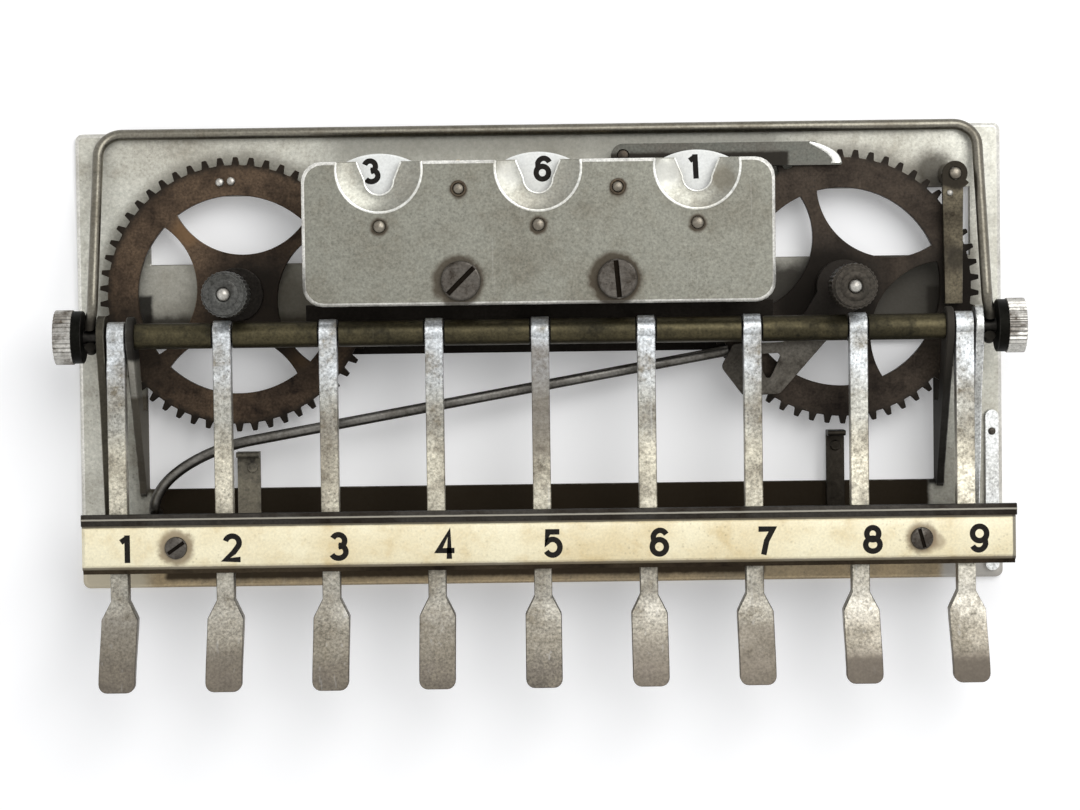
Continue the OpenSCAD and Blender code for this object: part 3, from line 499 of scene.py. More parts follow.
@dataclass(frozen=True)
class EnamelFinish(WornFinish):
    """A painted or enamelled face with a few specks and yellowed clouds."""

    roughness: float = 0.38
    wear: Wear = Wear.USED
    stain_scale: float = 90.0
    pits: float = 0.5
    pit_scale: float = 1100.0
    mottle: float = 0.12
    dirt_and_painted_light: tuple[Patch, ...] = ()

    def edge(self) -> "EnamelFinish":
        """Returns the same enamel worn paler at its edges."""
        pale = tuple(min(1.0, channel * 1.08) for channel in self.base)
        return replace(self, name=self.name + "_edge", base=pale)

    def surface(self, sheet: NodeSheet, groups: GroupKit, where: Socket) -> bpy.types.Node:
        """Returns the enamel's shader node, for the place on the object."""
        patina, speckle = self.ground(sheet, groups, where, (*self.base, 1.0), ENAMEL_PIT_SHARE)
        color, _ = lay_dirt_and_painted_light(sheet, where, speckle.outputs["Color"], self.dirt_and_painted_light)
        rough = sheet.math("ADD", self.roughness, sheet.math("MULTIPLY", patina.outputs["Mask"], 0.2), True)
        height = sheet.math("SUBTRACT", 1.0, speckle.outputs["Mask"])
        bump = sheet.add("Bump", Strength=0.15, Distance=BUMP_DEPTH, Height=height)
        return sheet.add("BsdfPrincipled", Base_Color=color, Roughness=rough, Coat_Weight=0.15,
                         Normal=bump.outputs[0])


Finish = MetalFinish | EnamelFinish
Reshape = Callable[[np.ndarray], np.ndarray]

# Near black: painted shade under and between parts, and the dark colour of the wheels' teeth
SHADE_AND_SOOT = (0.012, 0.010, 0.008)
PLATE = MetalFinish(
    "nickel_silver", "plate_metal", (0.48, 0.475, 0.42), (0.20, 0.175, 0.13), (0.70, 0.69, 0.64),
    metallic=0.75, roughness=0.40, stain_scale=38.0, pits=0.5, pit_scale=1900.0, mottle=0.25,
    fades=(Fade((0.34, 0.265, 0.16), -25.0, -27.5),),
    dirt_and_painted_light=(
        # Very dark brown band between the strip and the front window: dark patina with painted shade under
        # the keys. The next patch, on the lip before the strip, is brown stain with a painted shadow of the
        # strip.
        Zone(-65.0, 64.5, -21.5, -13.9, soft=0.5, strength=0.98, color=(0.026, 0.018, 0.010)),
        Zone(-63.0, 37.0, -29.5, -25.0, soft=0.45, strength=0.9, color=(0.030, 0.020, 0.012)),
        Zone(66.5, 79.0, -32.0, -25.0, soft=1.0, strength=0.85, color=(0.42, 0.41, 0.39)),
        Zone(-79.0, -66.0, -32.0, -25.0, soft=2.0, strength=0.8, color=(0.52, 0.48, 0.38)),
        # Painted shade: a darker ring on the plate round each wheel's teeth
        Halo(-49.8, 18.0, 22.6, 2.2, 0.55, (0.13, 0.12, 0.095)),
        Halo(49.8, 18.0, 22.6, 2.2, 0.6, (0.12, 0.11, 0.09)),
        # Painted shade below the cover's right corner, painted shadow of the cover and bail on the rear
        # band, and painted shade under the rod on the left
        Zone(36.5, 45.5, 12.0, 22.0, soft=1.6, strength=0.85, color=(0.026, 0.022, 0.018)),
        Zone(-36.0, 43.0, 38.5, 46.0, soft=5.0, strength=0.75, color=(0.165, 0.162, 0.138)),
        Zone(-66.0, -36.0, 7.5, 14.6, soft=0.9, strength=0.85, color=(0.02, 0.016, 0.012)),
        Halo(65.6, 37.0, 1.8, 3.4, 0.8, (0.045, 0.038, 0.028)),
        # Painted shade under the cover and the rod, along both cheeks, and round both wheels' hubs
        Zone(-37.0, 38.0, 7.0, 19.0, strength=0.94, color=SHADE_AND_SOOT),
        Zone(-66.8, -64.3, -15.0, 1.5, soft=0.4, strength=0.9, color=(0.085, 0.072, 0.052)),
        Zone(-66.8, -64.3, 7.5, 18.0, soft=0.4, strength=0.9, color=SHADE_AND_SOOT),
        Zone(64.3, 66.8, -15.0, 18.0, soft=0.4, strength=0.93, color=SHADE_AND_SOOT),
        Halo(56.0, 14.0, 11.0, 8.0, 0.88, (0.045, 0.040, 0.033)),
        Halo(-46.0, 12.5, 8.0, 9.0, 0.7, (0.07, 0.06, 0.042)),
    ),
)
GUIDE = MetalFinish(
    "guide_patina", "guide_metal", (0.045, 0.034, 0.022), (0.018, 0.013, 0.009), (0.10, 0.085, 0.06),
    metallic=1.0, roughness=0.5, wear=Wear.OLD,
)
# Near black: painted shade in the screws' slots
SLOT_SHADE = MetalFinish(
    "painted_slot_shade", "screw_steel", (0.010, 0.008, 0.006), (0.018, 0.013, 0.009), (0.05, 0.04, 0.03),
    metallic=1.0, roughness=0.6,
)
LIP = replace(
    GUIDE, name="guide_lip", base=(0.035, 0.032, 0.028),
    dirt_and_painted_light=(
        # A thin painted highlight along the lip
        Zone(-80.0, 80.0, -18.1, -17.8, soft=0.08, strength=0.8, color=(0.36, 0.34, 0.29)),
    ),
)
STRIP = EnamelFinish(
    "aged_ivory", "strip_face", (0.86, 0.79, 0.56), (0.66, 0.53, 0.29), stain_scale=48.0, wear=Wear.OLD,
    pit_scale=1500.0,
    dirt_and_painted_light=(
        Zone(-80.0, 80.0, -27.0, -25.55, soft=0.12, strength=0.85, color=(0.10, 0.072, 0.042)),
        Zone(-80.0, 80.0, -19.25, -18.0, soft=0.1, strength=0.9, color=(0.06, 0.05, 0.035)),
        Zone(75.4, 77.0, -27.0, -18.0, soft=0.1, strength=0.8, color=(0.05, 0.042, 0.03)),
        Halo(-58.8, -22.5, 2.3, 1.2, 0.8, (0.17, 0.11, 0.05)),
        Halo(60.8, -22.5, 1.9, 1.3, 0.8, (0.17, 0.11, 0.05)),
        Halo(63.2, -22.9, 0.9, 1.0, 0.6, (0.22, 0.15, 0.08)),
    ),
)
SCREW = MetalFinish(
    "rusty_screw", "screw_steel", (0.082, 0.074, 0.064), (0.022, 0.016, 0.011), (0.19, 0.17, 0.145),
    metallic=0.9, roughness=0.36, wear=Wear.OLD, stain_scale=330.0, pits=0.8, pit_scale=2600.0,
)
# The rod's near-black colour is partly painted shade at its ends, between the nuts and the bail's loops
ROD = MetalFinish(
    "rod_steel", "rod_steel", (0.03, 0.028, 0.025), (0.012, 0.011, 0.009), (0.12, 0.11, 0.10),
    metallic=1.0,
)
SPACER = MetalFinish(
    "spacer_olive", "spacer_brass", (0.058, 0.049, 0.026), (0.018, 0.016, 0.010), (0.16, 0.14, 0.09),
    metallic=0.9, roughness=0.34, wear=Wear.OLD, stain_scale=90.0, mottle=0.4,
)
COLLAR = MetalFinish(
    "black_collar", "collar_black", (0.006, 0.006, 0.005), (0.012, 0.010, 0.008), (0.03, 0.028, 0.025),
    metallic=1.0, roughness=0.5, wear=Wear.CLEAN,
)
KNURL = MetalFinish(
    "knurled_nut", "nut_silver", (0.46, 0.45, 0.42), (0.07, 0.055, 0.04), (0.52, 0.51, 0.48),
    metallic=0.95, roughness=0.3, wear=Wear.OLD, stain_scale=190.0, pits=0.8, pit_scale=2200.0,
)
NUT = MetalFinish(
    "bright_stud", "nut_silver", (0.42, 0.41, 0.38), (0.16, 0.13, 0.10), (0.62, 0.61, 0.57),
    metallic=0.95, roughness=0.32, stain_scale=300.0, pits=0.5, pit_scale=2600.0,
)
STUD = replace(
    NUT, name="stained_stud", base=(0.21, 0.19, 0.155), stain=(0.06, 0.046, 0.033), roughness=0.32,
)
SOOTY_STUD = replace(STUD, name="sooty_stud", base=(0.045, 0.038, 0.03), bright=(0.12, 0.11, 0.09))
STUD_STAINS = tuple(Halo(x, y, 1.15, 0.6, 0.88) for x, y in (
    (-12.7, 34.2), (12.7, 34.2), (-25.4, 28.4), (0.0, 28.4), (25.4, 28.4)))
COVER = MetalFinish(
    "cover_grey", "cover_steel", (0.192, 0.190, 0.158), (0.130, 0.116, 0.087), (0.78, 0.77, 0.72),
    metallic=0.7, roughness=0.42, stain_scale=70.0, pits=0.6, pit_scale=2700.0, mottle=0.33,
    # Brown stains round the studs; round each cover screw a dark ring of brown stain and painted shadow of
    # the head
    dirt_and_painted_light=(*STUD_STAINS, Halo(-12.9, 19.6, 3.7, 1.0, 0.8), Halo(12.1, 19.7, 3.8, 1.0, 0.85)),
)
SCOOP = MetalFinish(
    "polished_scoop", "cover_steel", (0.25, 0.248, 0.215), (0.19, 0.175, 0.14), (0.86, 0.86, 0.82),
    metallic=0.85, roughness=0.28, stain_scale=140.0, pits=0.4, pit_scale=2400.0, mottle=0.3,
    dirt_and_painted_light=(
        # Painted highlights on the left sides of the middle and right scoops, and painted shade on the right
        # side of the right scoop
        Halo(-4.6, 36.6, 1.0, 2.2, 0.5, (0.36, 0.36, 0.34)),
        Halo(20.6, 36.6, 1.2, 2.4, 0.6, (0.38, 0.38, 0.36)),
        Halo(29.6, 35.4, 1.2, 1.8, 0.7, (0.13, 0.115, 0.085)),
    ),
)
RIM = replace(SCOOP, name="scoop_rim", base=(0.72, 0.72, 0.68), stain=(0.40, 0.38, 0.32), dirt_and_painted_light=())
PILLAR = MetalFinish(
    "pillar_brass", "pillar_brass", (0.30, 0.22, 0.11), (0.12, 0.085, 0.04), (0.60, 0.50, 0.30),
)
# Near black, partly painted shade: the rail and the flange under the rod stand in the shade between the
# cover and the rod
RAIL = MetalFinish(
    "dark_rail", "rail_dark", (0.014, 0.012, 0.010), (0.008, 0.007, 0.006), (0.06, 0.055, 0.05),
    metallic=1.0, roughness=0.5,
)
RING = MetalFinish(
    "brown_ring", "rail_dark", (0.075, 0.058, 0.04), (0.03, 0.022, 0.015), (0.16, 0.13, 0.10),
    metallic=0.9, roughness=0.42, stain_scale=300.0,
)
SPRING = MetalFinish(
    "spring_wire", "spring_steel", (0.15, 0.143, 0.13), (0.06, 0.054, 0.045), (0.26, 0.25, 0.235),
    metallic=1.0, roughness=0.26, wear=Wear.OLD, stain_scale=120.0,
)
LEAF_OLIVE = replace(SPRING, name="leaf_olive", base=(0.20, 0.18, 0.135), roughness=0.5, metallic=0.6)
LEAF_DARK = replace(
    SPRING, name="leaf_dark", base=(0.035, 0.030, 0.024), stain=(0.02, 0.017, 0.013),
    bright=(0.09, 0.08, 0.07), roughness=0.45,
)
EDGE_STRIP = MetalFinish(
    "edge_strip_steel", "spring_steel", (0.62, 0.63, 0.62), (0.26, 0.24, 0.20), (0.80, 0.80, 0.77),
    pits=0.9, pit_scale=2200.0, mottle=0.5,
)
KEY = MetalFinish(
    "key_steel", "key_steel", (0.53, 0.555, 0.57), (0.17, 0.15, 0.115), (0.78, 0.80, 0.82),
    metallic=0.85, roughness=0.34, wear=Wear.OLD, stain_scale=120.0, pits=0.9, pit_scale=2100.0,
    grain=Grain.ALONG_Y, mottle=0.6,
    fades=(
        Fade((0.34, 0.335, 0.30), 6.5, -0.5),
        Fade((0.50, 0.47, 0.38), -2.0, -9.0),
        Fade((0.31, 0.295, 0.255), -20.0, -31.0),
        Fade((0.24, 0.22, 0.18), -33.0, -38.0),
        # Painted shade: each paddle darkens towards its tip, where it bends down
        Fade((0.105, 0.092, 0.075), -38.0, -43.0),
    ),
)
BAR = MetalFinish(
    "bar_dark", "bar_dark", (0.05, 0.047, 0.042), (0.022, 0.018, 0.015), (0.16, 0.15, 0.14),
)
ARM_OLIVE = MetalFinish(
    "arm_olive", "arm_olive", (0.048, 0.043, 0.031), (0.022, 0.018, 0.012), (0.16, 0.15, 0.12),
)
ARM_BRIGHT = MetalFinish(
    "arm_bright", "arm_bright", (0.50, 0.51, 0.50), (0.22, 0.21, 0.18), (0.80, 0.81, 0.81), metallic=0.9,
    roughness=0.28, pits=0.8, pit_scale=1900.0, mottle=0.6,
)
BAIL = MetalFinish(
    "bail_wire", "bail_wire", (0.168, 0.157, 0.128), (0.09, 0.077, 0.055), (0.55, 0.53, 0.48),
    metallic=0.95, roughness=0.25, stain_scale=160.0, pits=0.3, pit_scale=2600.0,
    dirt_and_painted_light=(
        # Painted shade on the bail's loops at the rod's ends, between the nuts and the keys
        Zone(-75.0, -70.3, 5.0, 14.5, strength=0.88, color=SHADE_AND_SOOT),
        Zone(70.3, 75.0, 5.0, 14.5, strength=0.88, color=SHADE_AND_SOOT),
    ),
)
LEFT_WHEEL = MetalFinish(
    "wheel_rust", "left_wheel_metal", (0.074, 0.050, 0.032), (0.016, 0.011, 0.008), (0.20, 0.14, 0.085),
    metallic=0.9, roughness=0.40, wear=Wear.OLD, stain_scale=62.0, pits=0.7, pit_scale=2000.0,
    mottle=0.45,
    dirt_and_painted_light=(
        Halo(-49.8, 18.0, 20.2, 1.3, 0.85, SHADE_AND_SOOT, outside=True),
        Halo(-57.9, 28.4, 1.0, 2.4, 0.5, (0.17, 0.10, 0.048)),
        Halo(-40.0, 8.2, 1.0, 2.2, 0.45, (0.15, 0.09, 0.042)),
        # Painted shade round the hub and under the rod at the left
        Halo(-45.5, 14.5, 6.0, 8.0, 0.88, SHADE_AND_SOOT),
        Halo(-68.0, 9.0, 3.0, 9.0, 0.7, SHADE_AND_SOOT),
    ),
)
RIGHT_WHEEL = MetalFinish(
    "wheel_chocolate", "right_wheel_metal", (0.033, 0.025, 0.0185), (0.012, 0.009, 0.007),
    (0.13, 0.10, 0.075), metallic=0.9, roughness=0.40, wear=Wear.OLD, stain_scale=62.0, pits=0.6,
    pit_scale=2000.0, mottle=0.4,
    dirt_and_painted_light=(
        Halo(49.8, 18.0, 20.4, 1.3, 0.75, SHADE_AND_SOOT, outside=True),
        # Painted shade round the hub and on the wheel's right side
        Halo(47.5, 16.0, 6.5, 7.0, 0.88, SHADE_AND_SOOT),
        Halo(69.0, 17.0, 5.0, 8.0, 0.8, SHADE_AND_SOOT),
    ),
)
HUB = MetalFinish(
    "hub_dark", "hub_dark", (0.062, 0.062, 0.058), (0.026, 0.024, 0.020), (0.13, 0.13, 0.122),
    metallic=0.9, roughness=0.42, stain_scale=200.0, pits=0.7, pit_scale=2600.0, mottle=0.55,
)
HUB_BROWN = replace(HUB, name="hub_brown", base=(0.036, 0.031, 0.025), bright=(0.085, 0.075, 0.063))
# The sleeves' near-black colour is partly painted shade beside the knobs
SLEEVE = replace(
    HUB, name="hub_sleeve", base=(0.016, 0.014, 0.012), stain=(0.008, 0.007, 0.006),
    bright=(0.045, 0.04, 0.035), metallic=1.0,
)
GEAR = MetalFinish(
    "gear_brass", "gear_brass", (0.34, 0.25, 0.12), (0.14, 0.10, 0.05), (0.66, 0.56, 0.36),
)
LEVER = MetalFinish(
    "lever_brown", "lever_dark", (0.085, 0.078, 0.066), (0.034, 0.029, 0.023), (0.22, 0.205, 0.175),
    metallic=0.9, roughness=0.36, wear=Wear.OLD, stain_scale=110.0, mottle=0.35,
    dirt_and_painted_light=(
        # Painted shade on the drive lever round the right wheel's hub
        Zone(30.0, 60.0, 11.0, 30.0, soft=1.6, strength=0.85, color=(0.014, 0.011, 0.009)),
    ),
)
LOCK = replace(
    LEVER, name="lock_steel", base=(0.085, 0.086, 0.074), bright=(0.42, 0.41, 0.38),
    stain=(0.10, 0.092, 0.078),
    dirt_and_painted_light=(
        # Painted shade over most of the lock bar, leaving its lit upper strip; the second patch tints the
        # bar near its tip
        Zone(10.0, 41.2, 36.0, 40.35, soft=0.35, strength=0.93, color=(0.030, 0.026, 0.021)),
        Zone(41.2, 51.0, 36.0, 38.6, soft=0.6, strength=0.5, color=(0.09, 0.085, 0.075)),
    ),
)
STOP = MetalFinish(
    "stop_brass", "stop_brass", (0.085, 0.073, 0.050), (0.030, 0.024, 0.017), (0.20, 0.18, 0.135),
    metallic=0.95, roughness=0.38, wear=Wear.OLD, stain_scale=110.0, mottle=0.5,
    dirt_and_painted_light=(
        Halo(68.3, 36.3, 2.3, 1.2, 0.88, (0.026, 0.022, 0.017)),
        Halo(68.3, 22.5, 1.2, 2.2, 0.75, (0.03, 0.026, 0.02)),
    ),
)
DISC = EnamelFinish(
    "disc_white", "disc_white", (0.74, 0.75, 0.725), (0.60, 0.57, 0.48), wear=Wear.CLEAN, pits=0.2,
    pit_scale=2400.0,
)
INK = MetalFinish(
    "numeral_black", "strip_face", (0.016, 0.015, 0.014), (0.03, 0.026, 0.02), (0.05, 0.047, 0.04),
    metallic=1.0, roughness=0.6, pits=0.1,
)
INK_DISC = replace(INK, name="numeral_black_disc", slot="disc_white")


def grid_faces(rows: int, columns: int, closed: bool = False) -> np.ndarray:
    """Returns the quads of a grid of points, row by row.

    Args:
        rows: number of rows of points.
        columns: number of points in a row.
        closed: whether the last column joins the first.

    Returns:
        Point indices, four to a face, counted so that a ring carried upward faces outward.
    """
    span = columns if closed else columns - 1
    row, column = np.meshgrid(np.arange(rows - 1), np.arange(span), indexing="ij")
    after = (column + 1) % columns
    corners = (row * columns + column, row * columns + after, (row + 1) * columns + after,
               (row + 1) * columns + column)
    return np.stack(corners, axis=-1).reshape(-1, 4)


def circle(count: int, turn: float = 0.0) -> np.ndarray:
    """Returns the points (cos a, sin a) for equal steps of a round the circle."""
    angle = turn + np.arange(count) * 2 * np.pi / count
    return np.stack((np.cos(angle), np.sin(angle)), axis=-1)


def lathe(profile: Sequence[tuple[float, float]], centre: Point, steps: int = 40) -> Surface:
    """Turns a profile round a vertical axis.

    The point for profile row (r, z) and angle a is centre + (r cos a, r sin a, z).

    Args:
        profile: radius and height in millimetres, from the bottom's middle up to the top's middle.
        centre: foot of the axis in millimetres.
        steps: number of points round the axis.

    Returns:
        Points in millimetres and quads.
    """
    outline = np.asarray(profile, dtype=float)
    ring = circle(steps)
    points = np.concatenate((outline[:, None, :1] * ring[None],
                             np.broadcast_to(outline[:, None, 1:], (len(outline), steps, 1))), axis=-1)
    points = points.reshape(-1, 3) + np.asarray(centre, dtype=float)
    return points, grid_faces(len(outline), steps, closed=True)


def rivet(radius: float, rise: float) -> list[tuple[float, float]]:
    """Returns a domed rivet's profile: (radius cos a, rise sin a) over a short foot, in millimetres."""
    dome = [(radius * math.cos(a), rise * math.sin(a)) for a in np.linspace(0, math.pi / 2, 6)]
    return [(0, -0.1), (radius, -0.1), *dome]


def tube(path: np.ndarray, radius: float | np.ndarray, steps: int = 14) -> Surface:
    """Carries a circle along a path, with closed ends.

    Each ring lies square to the path's direction t, spanned by a side n, carried along
    without twist, and t x n; its point for angle a is path + radius (n cos a + (t x n) sin a).

    Args:
        path: points in millimetres.
        radius: the circle's radius, or one radius for each point of the path.
        steps: number of points round the circle.

    Returns:
        Points in millimetres and quads.
    """
    path = np.asarray(path, dtype=float)
    tangent = np.gradient(path, axis=0)
    tangent /= np.linalg.norm(tangent, axis=1, keepdims=True)
    side = np.zeros_like(path)
    guess = np.array((0.0, 0.0, 1.0)) if abs(tangent[0, 2]) < 0.9 else np.array((1.0, 0.0, 0.0))
    for index, direction in enumerate(tangent):
        guess = guess - direction * guess.dot(direction)
        guess /= np.linalg.norm(guess)
        side[index] = guess
    other = np.cross(tangent, side)
    ring = circle(steps)
    reach = np.broadcast_to(np.asarray(radius, dtype=float), (len(path),))[:, None, None]
    body = path[:, None] + reach * (ring[None, :, :1] * side[:, None] + ring[None, :, 1:] * other[:, None])
    first = np.broadcast_to(path[:1, None], (1, steps, 3))
    last = np.broadcast_to(path[-1:, None], (1, steps, 3))
    points = np.concatenate((first, body, last)).reshape(-1, 3)
    return points, grid_faces(len(path) + 2, steps, closed=True)


def arc(centre: Point, radius: float, start: float, end: float, count: int,
        plane: str = "xy") -> np.ndarray:
    """Returns points of a circular arc: centre + radius (cos a, sin a) in the named plane.

    Args:
        centre: middle of the arc in millimetres.
        radius: its radius.
        start: first angle in degrees.
        end: last angle in degrees.
        count: number of points.
        plane: "xy" or "yz".

    Returns:
        The points in millimetres.
    """
    angle = np.radians(np.linspace(start, end, count))
    flat = np.stack((np.cos(angle), np.sin(angle)), axis=-1) * radius
    level = np.zeros((count, 1))
    offset = np.hstack((flat, level)) if plane == "xy" else np.hstack((level, flat))
    return np.asarray(centre, dtype=float) + offset


def bow(middle: tuple[float, float], wide: float, high: float, start: float, end: float) -> np.ndarray:
    """Returns points of a bow: middle + (wide cos a, high sin a), from start to end in degrees."""
    angle = np.radians(np.linspace(start, end, max(4, int(abs(end - start) / 12))))
    return np.asarray(middle) + np.stack((wide * np.cos(angle), high * np.sin(angle)), axis=-1)


def line(*points: tuple[float, float]) -> np.ndarray:
    """Returns a stroke through the given points."""
    return np.asarray(points, dtype=float)


def joined(*pieces: np.ndarray) -> np.ndarray:
    """Returns one stroke that runs through all pieces."""
    return np.concatenate(pieces)


NUMERALS: dict[str, tuple[np.ndarray, ...]] = {
    "0": (bow((0.0, 0.0), 0.255, 0.425, 0, 360),),
    "1": (line((0.06, 0.5), (0.06, -0.5)), line((0.06, 0.40), (-0.17, 0.25))),
    "2": (joined(bow((0.0, 0.185), 0.25, 0.24, 165, -25),
                 line((0.05, -0.16), (-0.25, -0.425), (0.29, -0.425))),),
    "3": (bow((-0.02, 0.205), 0.225, 0.22, 155, -90), bow((-0.02, -0.19), 0.265, 0.235, 90, -155)),
    "4": (line((0.12, -0.5), (0.12, 0.46), (-0.27, -0.20), (0.31, -0.20)),),
    "5": (joined(line((0.25, 0.425), (-0.17, 0.425), (-0.22, 0.03)),
                 bow((0.0, -0.13), 0.265, 0.285, 135, -150)),),
    "6": (bow((0.0, -0.165), 0.255, 0.26, 0, 360), joined(bow((0.0, -0.165), 0.255, 0.3, 180, 140),
                                                       bow((0.03, 0.14), 0.255, 0.29, 165, 30))),
    "7": (line((-0.27, 0.425), (0.25, 0.425), (0.02, 0.0), (-0.09, -0.5)),),
    "8": (bow((0.0, 0.205), 0.215, 0.22, 0, 360), bow((0.0, -0.19), 0.26, 0.235, 0, 360)),
    "9": (bow((0.0, 0.165), 0.255, 0.26, 0, 360), joined(bow((0.0, 0.165), 0.255, 0.3, 0, -40),
                                                      bow((-0.03, -0.14), 0.255, 0.29, -15, -150))),
}


def ribbon(stroke: np.ndarray, width: float, top: float) -> Surface:
    """Carries a flat profile along a stroke in the XY plane.

    At each point with side vector n, square to the stroke, the section's corners are
    point -/+ n width / 2 at the heights -0.05 and top; the ends close on the stroke itself.

    Args:
        stroke: points in millimetres.
        width: the ribbon's width.
        top: height of its upper face.

    Returns:
        Points in millimetres and quads.
    """
    closed = np.allclose(stroke[0], stroke[-1])
    step = np.diff(stroke, axis=0)
    step /= np.linalg.norm(step, axis=1, keepdims=True)
    before = np.vstack((step[-1:] if closed else step[:1], step))
    after = np.vstack((step, step[:1] if closed else step[-1:]))
    middle = before + after
    middle /= np.linalg.norm(middle, axis=1, keepdims=True)
    miter = width / 2 / np.maximum(0.55, (middle * after).sum(axis=1, keepdims=True))
    side = np.stack((-middle[:, 1], middle[:, 0]), axis=-1) * miter
    corners = np.stack((stroke - side, stroke + side, stroke + side, stroke - side), axis=1)
    heights = np.broadcast_to(np.array((-0.05, -0.05, top, top))[None, :, None], (len(stroke), 4, 1))
    rings = np.concatenate((corners, heights), axis=-1)
    if not closed:
        rings = np.concatenate((np.repeat(rings[:1].mean(axis=1, keepdims=True), 4, axis=1), rings,
                                np.repeat(rings[-1:].mean(axis=1, keepdims=True), 4, axis=1)))
    return rings.reshape(-1, 3), grid_faces(len(rings), 4, closed=True)


def carried(section: Sequence[tuple[float, float]], start: float, end: float) -> Surface:
    """Carries a closed section (y, z) along X from start to end: point (x, y, z), with closed ends."""
    ring = np.asarray(section, dtype=float)
    middle = np.broadcast_to(ring.mean(axis=0), ring.shape)
    rows = [np.column_stack((np.full(len(ring), x), flat)) for x, flat in
            ((start, middle), (start, ring), (end, ring), (end, middle))]
    return np.concatenate(rows), grid_faces(4, len(ring), closed=True)


def hermite(start: np.ndarray, leave: Sequence[float], end: np.ndarray, arrive: Sequence[float],
            rate: np.ndarray) -> np.ndarray:
    """Returns points of the cubic through start and end with the given end directions."""
    square, cube = rate ** 2, rate ** 3
    return ((2 * cube - 3 * square + 1) * np.asarray(start) + (cube - 2 * square + rate) * np.asarray(leave)
            + (3 * square - 2 * cube) * np.asarray(end) + (cube - square) * np.asarray(arrive))


